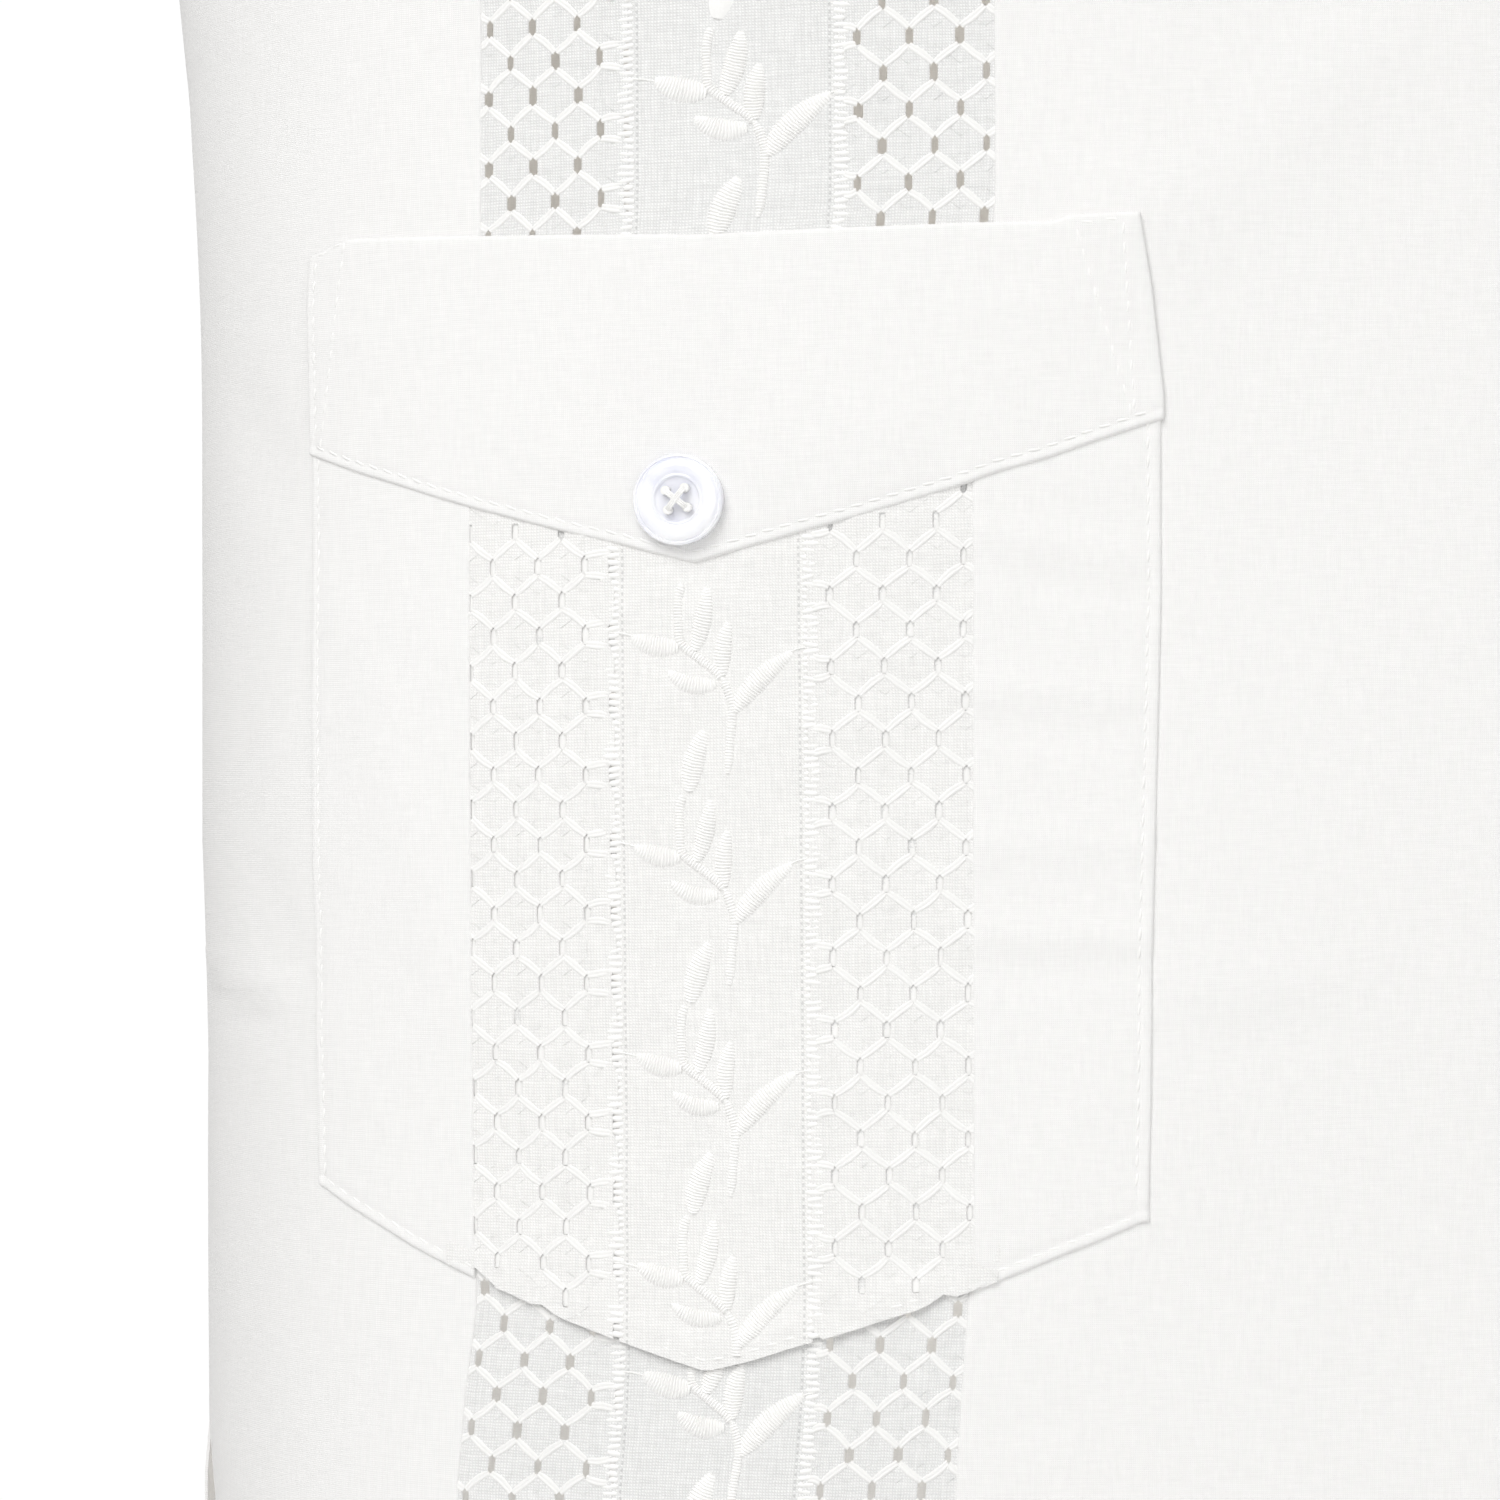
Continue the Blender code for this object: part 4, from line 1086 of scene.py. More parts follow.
def build_collar():
    """Turned-down collar: stands on the collar stand, rolls over and falls to its edge."""
    turn, point, outward, over = neck_frame(finer_steps(neck_steps()[1:-1], 4))
    near_front = unit(1.0 - np.abs(turn) / 0.55)
    up = np.array([0.0, 0.0, 1.0])
    height = STAND_ABOVE + 0.4 * over + stand_height(turn)
    top = point + outward * (over - STAND_LEAN * stand_height(turn))[:, None]
    edge = collar_edge(turn)
    fall = 0.0034 + 0.0020 * near_front
    middle = (fall - STAND_WALL) / 2
    rows = []
    for angle in np.linspace(-0.15, 1.0, 11):
        lean = np.pi * unit(angle)
        half = (fall + STAND_WALL) / 2 + 0.0002
        out = middle - half * np.cos(lean)
        lift = 0.0035 * np.sin(lean) + 0.0022 + (angle < 0) * angle * 0.012
        rows.append(top + outward * out[:, None] + up * (height + lift)[:, None])
    start = rows[-1]
    for share in np.linspace(0.06, 1.0, 16):
        bulge = 0.0035 * np.sin(np.pi * share)
        rows.append(start + (edge - start) * share + outward * bulge)
    points = np.array(rows)
    return points, free_sheet("collar", points, outward[None], COLLAR_WALL)


# Patch pockets

# the cut of a lower and an upper pocket: levels of its top, low corners, point, facing and button
POCKET_COLUMNS = ("name", "top", "corner", "point", "facing_corner", "facing_point", "button")
POCKETS = [dict(zip(POCKET_COLUMNS, row)) for row in (
    ("pocket_lower", -0.5220, -0.6436, -0.6651, -0.5480, -0.5638, -0.5565),
    ("pocket_upper", -0.2150, -0.3290, -0.3495, -0.2400, -0.2553, -0.2485))]
POCKET_IN = 0.0660        # u of a pocket's low corners and of its point
POCKET_OUT = 0.1760
POCKET_TIP = 0.1212
PLAN_IN = 0.0650          # u of its straight plan, which is bent to the real edges
PLAN_OUT = 0.1762
FACING_IN = 0.0640
FACING_OUT = 0.1764
FACING_TIP = 0.1222
BUTTON_U = 0.1236


def pocket_inner(f):
    """u of the edge toward the buttons; f runs from 0 at the low corner to 1 at the top."""
    return np.interp(f, (0.0, 0.10, 0.25, 0.62, 0.82, 0.93, 1.0),
                     (0.0660, 0.0656, 0.0653, 0.0637, 0.0636, 0.0650, 0.0664))


def pocket_outer(f):
    return np.interp(f, (0.0, 0.5, 0.95, 1.0), (0.1760, 0.1766, 0.1765, 0.1758))


def pocket_low(u, cut):
    inner = (u - POCKET_IN) / (POCKET_TIP - POCKET_IN)
    outer = (POCKET_OUT - u) / (POCKET_OUT - POCKET_TIP)
    share = unit(np.minimum(inner, outer))
    corner = np.where(u < POCKET_TIP, cut["corner"] - 0.0026, cut["corner"] + 0.0003)
    pucker = soft_noise(u / (5.5 * MM) + 31, 0.5 + 0.0 * u, 23) * 0.14 * MM
    return corner + (cut["point"] - corner) * share - 0.0011 * np.sin(np.pi * share) + pucker


def pocket_top(u, cut):
    rise = np.interp(u, (0.0660, 0.0740, 0.0746, 0.0850, 0.1200, 0.1480, 0.1700, 0.1765),
                     (0.1, -0.2, -0.9, -0.9, -1.5, -0.5, 0.5, -1.2))
    return cut["top"] + rise * MM


def facing_low(u, cut):
    inner = (u - FACING_IN) / (FACING_TIP - FACING_IN)
    outer = (POCKET_OUT - u) / (POCKET_OUT - FACING_TIP)
    share = unit(np.minimum(inner, outer))
    corner = cut["facing_corner"] + np.where(u < FACING_TIP, 0.0010, -0.0005)
    pucker = soft_noise(u / (6.0 * MM) + 57, 0.5 + 0.0 * u, 29) * 0.16 * MM
    point = cut["facing_point"] - 0.0002
    return corner + (point - corner) * share - 0.0006 * np.sin(np.pi * share) + pucker


def edge_share(level, cut):
    """How far up the pocket's sides a level is, for pocket_inner and pocket_outer."""
    return unit((level - cut["corner"]) / (cut["top"] - cut["corner"]))


def pocket_point(x, f, cut):
    """(u, level) in a pocket: x from 0 at the inner edge to 1 at the outer, f up from the low edge."""
    u_straight = PLAN_IN + (PLAN_OUT - PLAN_IN) * x
    low = pocket_low(u_straight, cut)
    level = low + (pocket_top(u_straight, cut) - low) * f
    side_f = edge_share(level, cut)
    u = pocket_inner(side_f) * (1 - x) + pocket_outer(side_f) * x
    blend = 4 * x * (1 - x)
    return u * (1 - blend) + u_straight * blend, level


def near_steps(span, step, left, right):
    """Distances from 0 to span: a step apart, closer beside an edge that is stitched."""
    start = STITCHED_STEPS if left else FOLD_STEPS
    end = STITCHED_STEPS if right else FOLD_STEPS
    room = span - start[-1] - end[-1]
    count = max(1, int(round(room / step)))
    middle = start[-1] + room * np.arange(1, count) / count
    return np.concatenate([start, middle, (span - end)[::-1]])


def stitch_groove(distance, line, along):
    """Cloth drawn in along a row of stitches, more at each needle hole."""
    pull = 0.75 + 0.25 * np.cos(2 * np.pi * along / STITCH_PITCH)
    groove = -0.15 * MM * np.exp(-((distance - line) / (0.45 * MM)) ** 2) * pull
    ridge = 0.07 * MM * np.exp(-((distance - line * 0.45) / (0.55 * MM)) ** 2)
    return groove + ridge


STITCH_PITCH = 2.3 * MM
POCKET_STITCH_IN = 1.75 * MM       # from the inner edge
POCKET_STITCH_OUT = 1.30 * MM
LOW_STITCH = 1.55 * MM


def pocket_poplin(stem, tail, side, cut, u_from, u_to, step):
    """One poplin part of a pocket, from its low edge to its top fold."""
    span = u_to - u_from
    inner_part = tail == "_centre"
    across = near_steps(span, step, inner_part, not inner_part)
    height = cut["top"] - cut["corner"]
    rows = near_steps(height, step, True, False)
    x = np.tile((u_from + across - PLAN_IN) / (PLAN_OUT - PLAN_IN), (len(rows), 1))
    if inner_part:
        x = x + (0.0 - x[:, :1]) * (1 - across / span)
    else:
        x = x + (1.0 - x[:, -1:]) * (across / span)
    f = np.repeat((rows / height)[:, None], x.shape[1], axis=1)
    u, level = pocket_point(x, f, cut)
    low_gap = np.repeat(rows[:, None], x.shape[1], axis=1)
    edge_gap = np.tile(across if inner_part else (span - across), (len(rows), 1))
    far_gap = span - edge_gap
    line = POCKET_STITCH_IN if inner_part else POCKET_STITCH_OUT
    out = POCKET_LIFT + pocket_relief(u, level)
    out = out + edge_roll(edge_gap, 1.6) + edge_roll(far_gap, 0.9) + edge_roll(low_gap, 1.6)
    out = out + stitch_groove(edge_gap, line, level) + stitch_groove(low_gap, LOW_STITCH, u)
    piece = sheet_on_shirt(stem + tail, side * u, level, out)


FACING_SHARES = np.array([0, .0009, .0022, .004, .008, .011, .0135, .0165, .021, .027])
FACING_RELIEF = 0.7                # share of the pocket's wrinkles
FACING_STITCH = 1.35 * MM          # from its low edge
FACING_STITCH_IN = 2.6 * MM
FACING_STITCH_OUT = 1.2 * MM
# the top fold rolls back to the pocket's own cloth
TOP_FOLD_UP = np.array([0.25, 0.55, 0.8, 0.95, 1.0, 0.95]) * MM
TOP_FOLD_IN = np.array([0.03, 0.14, 0.32, 0.60, 0.90, 1.25]) * MM


def facing_lift(u, gap):
    """Height of the facing, which is drawn down on the strip near its low edge."""
    over_strip = unit((u - STRIP_IN) / (5 * MM)) * unit((STRIP_OUT - u) / (5 * MM))
    return FACING_LIFT - 0.38 * MM * over_strip * unit(1.0 - gap / (9 * MM))


def build_facing(stem, side, cut, step):
    """Band turned out over the pocket's top, pointed, and sewn down on three sides."""
    middle = np.linspace(FACING_SHARES[-1], 1 - FACING_SHARES[-1], int(0.105 / step) + 1)[1:-1]
    x = np.concatenate([FACING_SHARES, middle, 1 - FACING_SHARES[::-1]])
    rows = 26 if step < 1.6 * MM else 12
    deep = np.concatenate([STITCHED_STEPS, np.linspace(3.0, 25.0, rows)[1:] * MM])
    u0 = FACING_IN + (FACING_OUT - FACING_IN) * x
    low = facing_low(u0, cut)
    full = pocket_top(u0, cut) - low
    grow = unit((deep - STITCHED_STEPS[-1]) / (22.0 * MM))
    gap = deep[:, None] + (full[None, :] - deep[-1]) * grow[:, None]
    level = low[None, :] + gap
    side_f = edge_share(level, cut)
    inner = pocket_inner(side_f) - 0.35 * MM
    outer = pocket_outer(side_f) + 0.1 * MM
    u = inner + (outer - inner) * x[None, :]
    edge_in = u - inner
    edge_out = outer - u
    out = facing_lift(u, gap) + FACING_RELIEF * pocket_relief(u, level)
    out = out + edge_roll(gap, 1.4) + edge_roll(edge_in, 1.4) + edge_roll(edge_out, 1.4)
    out = out + stitch_groove(gap, FACING_STITCH, u)
    out = out + stitch_groove(edge_in, FACING_STITCH_IN, level) * 0.6
    out = out + stitch_groove(edge_out, FACING_STITCH_OUT, level) * 0.8
    u = np.concatenate([u, u[-1:] + 0 * TOP_FOLD_UP[:, None]])
    level = np.concatenate([level, level[-1:] + TOP_FOLD_UP[:, None] * 0.6])
    out = np.concatenate([out, out[-1:] - TOP_FOLD_IN[:, None]])
    piece = sheet_on_shirt(stem + "_facing", side * u, level, out, FACING_THICK)


# Openwork strip: two lattice bands and an embroidered middle

LATTICE_EDGE = 20.3 * MM
HOLE_HALF_HIGH = 1.12 * MM
# how unevenly the holes are drawn: across and up in millimetres, shares of width and height
HOLE_UNEVEN = np.array([0.12, 0.14, 0.22, 0.12])
HOLE_CLEAR = 1.9 * MM          # the least from a hole's middle to the end of its cloth
# a band's holes: level of a row of the second kind, distance between rows and between holes,
# distance of the first hole from the band's outer edge in each kind of row, half width of a hole,
# all in millimetres, how much the cells puff out, and whether thread fills the holes
BAND_COLUMNS = ("row_level", "row_pitch", "hole_pitch", "first_hole", "hole_half", "dome",
                "filled")
SHIRT_BANDS = (
    (-0.4990, 4.51, 6.70, (1.1, 4.4), 0.51, 1.0, False),
    (-0.5002, 4.43, 6.25, (1.0, 4.1), 0.51, 1.0, False))
POCKET_BANDS = (               # levels for the lower pocket
    (-0.5682, 4.51, 6.65, (0.75, 4.05), 0.38, 1.4, True),
    (-0.5641, 4.37, 6.20, (0.9, 4.05), 0.38, 1.4, True))


def closed_ring(half):
    """Twelve corners from the first six: each of the others lies opposite one of them."""
    return half + tuple((-x, -y) for x, y in half)


# corners of a cell in half hole pitches and in row pitches, and how high each one puffs out
HEXAGON = closed_ring(((1.0, 0.0), (1.0, 0.2353), (0.5, 0.5), (0.0, 0.7647), (-0.5, 0.5), (-1.0, 0.2353)))
CELL_DOME = 2 * (0.20, 0.12, 0.0, 0.18, 0.0, 0.12)
# the overcast rim round a hole in millimetres, and the hole in half widths and half heights
RIM = closed_ring(((1.05, 0.0), (1.05, 0.75), (0.80, 1.45), (0.0, 1.75), (-0.80, 1.45), (-1.05, 0.75)))
SLIT = closed_ring(((1.0, 0.0), (1.0, 0.74), (0.78, 0.96), (0.0, 1.0), (-0.78, 0.96), (-1.0, 0.74)))


def lattice_cells(low, high, plan):
    """Cells of one band as (distance from its outer edge, level, has a hole)."""
    first = int(np.floor((plan["row_level"] - high) / (plan["row_pitch"] * MM))) - 1
    last = int(np.ceil((plan["row_level"] - low) / (plan["row_pitch"] * MM))) + 1
    cells = []
    for k in range(first, last + 1):
        kind = (k + 1) % 2
        for j in range(-2, 4):
            b = (plan["first_hole"][kind] + j * plan["hole_pitch"]) * MM
            if -6.2 * MM < b < 24.3 * MM:
                cells.append((b, plan["row_level"] - k * plan["row_pitch"] * MM, 0 <= j <= 2))
    return cells


def lattice_mesh(cells, plan, low_of, high_of, shown, near_test, seed):
    """Flat mesh (b, level, rise) of a band with its slit holes; off the close-up each has a plain rim."""
    half = plan["hole_pitch"] / 2 * MM
    row = plan["row_pitch"] * MM
    rng = np.random.default_rng(seed)
    points = []
    faces = []
    holes = []
    for b0, level0, holed in cells:
        uneven = rng.uniform(-1, 1, 4) * HOLE_UNEVEN
        start = len(points)
        near = near_test(level0)
        kept = slice(0, 12) if near else slice(1, 12, 2)     # all points, or the six corners
        ring = [(b0 + x * half, level0 + y * row, dome * plan["dome"] * MM)
                for (x, y), dome in zip(HEXAGON[kept], CELL_DOME[kept])]
        sides = len(ring)
        low = float(low_of(np.array(b0)))
        high = float(high_of(np.array(b0)))
        whole = low + HOLE_CLEAR < level0 < high - HOLE_CLEAR
        corner_b = np.array([p[0] for p in ring])
        corner_level = np.array([p[1] for p in ring])
        if np.all(corner_level <= low_of(corner_b)) or np.all(corner_level >= high_of(corner_b)):
            continue
        if not (holed and whole and shown(b0, level0)):
            points += ring
            faces.append(tuple(range(start, start + sides)))
            continue
        cb = b0 + uneven[0] * MM
        cl = level0 + uneven[1] * MM
        wide = plan["hole_half"] * MM * (1 + uneven[2])
        high_half = HOLE_HALF_HIGH * (1 + uneven[3])
        points += ring
        rings = 1
        if near:
            rings = 3
            points += [(cb + x * MM, cl + y * MM, 0.06 * MM) for x, y in RIM]
            points += [(cb + x * wide * 1.28, cl + y * high_half * 1.14, 0.13 * MM) for x, y in SLIT]
        points += [(cb + x * wide, cl + y * high_half, 0.02 * MM) for x, y in SLIT[kept]]
        for r in range(rings):
            for k in range(sides):
                n = (k + 1) % sides
                a = start + sides * r
                faces.append((a + k, a + n, a + sides + n, a + sides + k))
        holes.append((cb, cl, high_half))
    points = np.array(points)
    points[:, 0] = np.clip(points[:, 0], -TUCK, LATTICE_EDGE)
    points[:, 1] = np.clip(points[:, 1], low_of(points[:, 0]), high_of(points[:, 0]))
    return points, faces, holes


def weld(points, faces):
    """Merges equal points and drops faces that have no area left."""
    key = np.round(points[:, :2] / 2e-6).astype(np.int64)
    index, back = np.unique(key, axis=0, return_index=True, return_inverse=True)[1:]
    back = back.ravel()
    kept = []
    for face in faces:
        ring = []
        for i in face:
            j = int(back[i])
            if not ring or ring[-1] != j:
                ring.append(j)
        if len(ring) > 1 and ring[0] == ring[-1]:
            ring.pop()
        if len(set(ring)) >= 3 and len(set(ring)) == len(ring):
            p = points[index[ring]][:, :2]
            q = np.roll(p, -1, axis=0)
            if abs((p[:, 0] * q[:, 1] - p[:, 1] * q[:, 0]).sum()) > 1e-9:
                kept.append(ring)
    return points[index], kept


def band_u(b, band):
    """u at a distance from the outer edge of the band: 1 is toward the side seam, 0 the front."""
    return STRIP_OUT - b if band else STRIP_IN + b


def in_band(of_u, band):
    """A function of u, or of u and level, as one of the distance from the band's outer edge."""
    return lambda b, *level: of_u(band_u(b, band), *level)


def all_shown(u, level):
    return True


def band_plans(rows, shift=0.0):
    plans = [dict(zip(BAND_COLUMNS, row)) for row in rows]
    for plan in plans:
        plan["row_level"] += shift
    return plans


def strip_mesh(name, side, edges, lift_of, step, seed, plans, material, near_test, shown=all_shown,
               warp=None):
    """Both lattice bands and the middle as one object."""
    low_of_u, high_of_u = edges
    samples = np.array([-3.0, 5, 10, 15, 20.3]) * MM
    holes_found = []
    parts = []
    for band, plan in enumerate(plans):
        low_b = in_band(low_of_u, band)
        high_b = in_band(high_of_u, band)
        cells = lattice_cells(float(np.min(low_b(samples))), float(np.max(high_b(samples))), plan)
        points, faces, holes = lattice_mesh(cells, plan, low_b, high_b, in_band(shown, band), near_test,
                                            seed + band)
        points, faces = weld(points, faces)
        parts.append((band_u(points[:, 0], band), points[:, 1], points[:, 2], faces))
        holes_found += [(band_u(b, band), lev, h, band) for b, lev, h in holes]
    us = np.linspace(STRIP_IN + LATTICE_EDGE, STRIP_OUT - LATTICE_EDGE, int(0.0244 / step) + 2)
    lows = low_of_u(us)
    highs = high_of_u(us)
    rows = max(2, int((highs.max() - lows.min()) / step))
    level = lows[None, :] + (highs - lows)[None, :] * np.linspace(0, 1, rows)[:, None]
    u = np.tile(us, (rows, 1))
    parts.append((u.ravel(), level.ravel(), 0 * u.ravel(), grid_faces(*u.shape)))
    all_points = []
    all_faces = []
    all_uv = []
    count = 0
    for part_u, part_level, rise, faces in parts:
        signed_u = side * part_u
        placed_u = warp(signed_u, part_level) if warp else signed_u
        points = on_shirt(placed_u, part_level, lift_of(part_u, part_level) + rise)[0]
        p = np.stack([signed_u, part_level], axis=1)
        for face in faces:
            q = p[face]
            r = np.roll(q, -1, axis=0)
            turned = (q[:, 0] * r[:, 1] - q[:, 1] * r[:, 0]).sum() < 0
            ring = [int(i) + count for i in face]
            all_faces.append(ring[::-1] if turned else ring)
        all_points.append(points)
        all_uv.append(p)
        count += len(points)
    piece = bare_mesh(name, np.concatenate(all_points), all_faces, material, np.concatenate(all_uv))
    give_wall(piece, BATISTE_THICK)
    return piece, holes_found


# Threads: every kind is a batch of small closed bars laid on the cloth

class ThreadBatch:
    """Points and faces of many thread pieces that become one mesh."""

    def __init__(self):
        self.points = []
        self.faces = []
        self.count = 0

    def add(self, points, faces):
        self.points.append(points)
        self.faces += [[i + self.count for i in face] for face in faces]
        self.count += len(points)

    def finish(self, name, cloth, material=None):
        if not self.count:
            return None
        piece = bare_mesh(name, np.concatenate(self.points), self.faces, material or THREAD)
        only(piece)
        bpy.ops.object.shade_smooth_by_angle(angle=math.radians(60.0))
        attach(piece, "root")
        sewn_on(cloth, piece)
        return piece


def tube_faces(rings, sides):
    """Faces of a closed bar of rings, each with the same number of points."""
    faces = []
    for r in range(rings - 1):
        for k in range(sides):
            n = (k + 1) % sides
            faces.append([r * sides + k, r * sides + n, (r + 1) * sides + n, (r + 1) * sides + k])
    faces.append(list(range(sides))[::-1])
    faces.append([(rings - 1) * sides + k for k in range(sides)])
    return faces


def lay(batch, u, level, rise, place):
    """A bar whose rings are rows of (u, level, rise) arrays; place() puts them on the cloth."""
    rings, sides = u.shape
    points = place(u, level, rise).reshape(-1, 3)
    faces = tube_faces(rings, sides)
    a = points[1] - points[0]
    b = points[sides] - points[0]
    middle = points[:sides].mean(axis=0)
    if np.dot(np.cross(a, b), points[0] - middle) < 0:
        faces = [face[::-1] for face in faces]
    batch.add(points, faces)


def bar(batch, start, end, profile, stations, place, sag=0.0, taper=0.6):
    """Straight thread bar between two (u, level) points with an (across, out) profile."""
    start = np.array(start)
    end = np.array(end)
    run = end - start
    length = np.hypot(*run)
    ahead = run / length
    across = np.array([-ahead[1], ahead[0]])
    profile = np.array(profile) * MM
    t = np.linspace(0, 1, stations)
    swell = taper + (1 - taper) * np.sin(np.pi * np.clip(t, 0.02, 0.98)) ** 0.5
    line = start[None, :] + run[None, :] * t[:, None]
    line = line + across[None, :] * (sag * np.sin(np.pi * t))[:, None]
    u = line[:, 0][:, None] + across[0] * profile[:, 0][None, :] * swell[:, None]
    level = line[:, 1][:, None] + across[1] * profile[:, 0][None, :] * swell[:, None]
    rise = profile[:, 1][None, :] * swell[:, None] + 0 * u
    lay(batch, u, level, rise, place)


# cross sections of the threads: across and out, in millimetres
CORD_NEAR = ((-0.55, -0.05), (-0.45, 0.13), (-0.28, 0.23), (-0.10, 0.18), (0.0, 0.14),
             (0.10, 0.18), (0.28, 0.23), (0.45, 0.13), (0.55, -0.05))
CORD_FAR = ((-0.52, -0.05), (-0.27, 0.20), (0.27, 0.20), (0.52, -0.05))
FILLING = ((-0.66, -0.24), (-0.20, -0.13), (0.20, -0.13), (0.66, -0.24))
RUNG = ((-0.38, -0.04), (0.0, 0.24), (0.38, -0.04))
RUNG_NEAR = ((-0.38, -0.04), (-0.24, 0.15), (0.0, 0.24), (0.24, 0.15), (0.38, -0.04))
BORDER_PITCH = 0.84 * MM
# distances from a band's outer edge: a cord that leads past the first pair ends at the second
CORDS_FROM, CORDS_TO = -0.4 * MM, 19.2 * MM
CORD_ENDS = (-0.6 * MM, 19.6 * MM)
CORD_GAP = 0.12 * MM           # from a cord's end to the middle of its hole
CORD_REACH = 0.96              # share of a hole's half height


def inside(u, level, edges, margin):
    """Whether a spot lies between the low and the high edge of its cloth."""
    low_of, high_of = edges
    return low_of(u) + margin < level < high_of(u) - margin


def lattice_cords(batch, holes, plans, edges, place, near_test, seed):
    """Overcast ridges from the ends of each hole to the holes of the next row."""
    rng = np.random.default_rng(seed)
    for u0, level0, high_half, band in holes:
        hole_pitch = plans[band]["hole_pitch"] * MM
        row_pitch = plans[band]["row_pitch"] * MM
        sway = rng.uniform(-1, 1, 4) * 0.10 * MM
        near = near_test(level0)
        profile = CORD_NEAR if near else CORD_FAR
        stations = 6 if near else 3
        b0 = (STRIP_OUT - u0) if band else (u0 - STRIP_IN)
        if plans[band]["filled"] and inside(u0, level0, edges, high_half):
            half = 0.92 * high_half
            bar(batch, (u0, level0 - half), (u0, level0 + half), FILLING, 3, place, 0.0, 0.85)
        for up in (1, -1):
            for way in (1, -1):
                reach = hole_pitch / 2
                b1 = b0 + way * reach
                if up < 0 and CORDS_FROM < b1 < CORDS_TO:
                    continue          # drawn from the hole below
                start = (b0 + way * CORD_GAP, level0 + up * (high_half * CORD_REACH))
                end = (b1 - way * CORD_GAP, level0 + up * (row_pitch - HOLE_HALF_HIGH * CORD_REACH))
                if b1 > CORDS_TO:
                    end = (CORD_ENDS[1], level0 + up * (high_half + 0.35 * MM))
                elif b1 < CORDS_FROM:
                    f = (start[0] - CORD_ENDS[0]) / (start[0] - b1)
                    end = (CORD_ENDS[0], start[1] + (end[1] - start[1]) * f)
                ends = [(band_u(start[0], band), start[1]), (band_u(end[0], band), end[1] + sway[way])]
                if all(inside(u, lev, edges, 0.5 * MM) for u, lev in ends):
                    bar(batch, *ends, profile, stations, place, sway[1 + way] * 2.2, 0.72)


def border_rungs(batch, edges, place, near_test, seed, shown):
    """Satin bars between each lattice and the middle of the strip."""
    rng = np.random.default_rng(seed)
    for band in (0, 1):
        u_mid = band_u(20.1 * MM, band)
        low, high = (float(edge(np.array(u_mid))) for edge in edges)
        for level in np.arange(low + 0.8 * MM, high - 0.5 * MM, BORDER_PITCH):
            r = rng.uniform(-1, 1, 4)
            if not shown(u_mid, level):
                continue
            b_out = (19.15 + 0.40 * r[0]) * MM
            b_in = (20.85 + 0.10 * r[1]) * MM
            slant = 0.16 * r[2] * MM
            profile, stations = (RUNG_NEAR, 4) if near_test(level) else (RUNG, 3)
            bar(batch, (band_u(b_out, band), level - slant), (band_u(b_in, band), level + slant),
                profile, stations, place, 0.0, 0.45)


# the vine: leaves as base and tip, in millimetres from the middle of the strip (+ toward the
# buttons) and from the motif's origin (+ up); belly bends the leaf, + to the left of its run
LEAF_COLUMNS = ("base_x", "base_y", "tip_x", "tip_y", "width", "belly")
LEAVES = [dict(zip(LEAF_COLUMNS, row)) for row in (
    (-3.5, -0.6, -9.5, 0.9, 2.7, 0.35),
    (-1.5, -1.0, 0.4, 6.8, 2.3, -0.25),
    (2.0, -4.2, 2.7, 2.7, 2.2, 0.25),
    (1.2, -5.3, -4.8, -3.9, 2.3, 0.65),
    (3.4, -8.6, 10.7, -1.3, 2.6, 0.45),
    (-2.3, -18.6, 0.0, -11.2, 2.8, 0.30))]
STEMS = (
    ((-3.0, 7.4), (-3.5, 5.4), (-3.5, 2.0), (-3.2, -0.1), (-1.2, -1.8), (1.1, -3.6), (2.0, -4.6)),
    ((2.0, -4.4), (3.0, -7.2), (3.2, -9.4), (2.9, -12.6), (2.6, -16.4)),
)
STRAY = (
    ((-9.3, 0.9), (-11.0, 1.3), (-12.6, 1.4)),
    ((10.5, -1.4), (11.4, -1.0), (12.4, -0.8)),
)
SHIRT_MOTIF_PITCH = 27.0 * MM
POCKET_MOTIF_PITCH = 26.3 * MM
THREAD_PITCH = 0.38 * MM


def satin_point(level0, shift, x, y):
    return STRIP_MID + shift - x * MM, level0 + y * MM


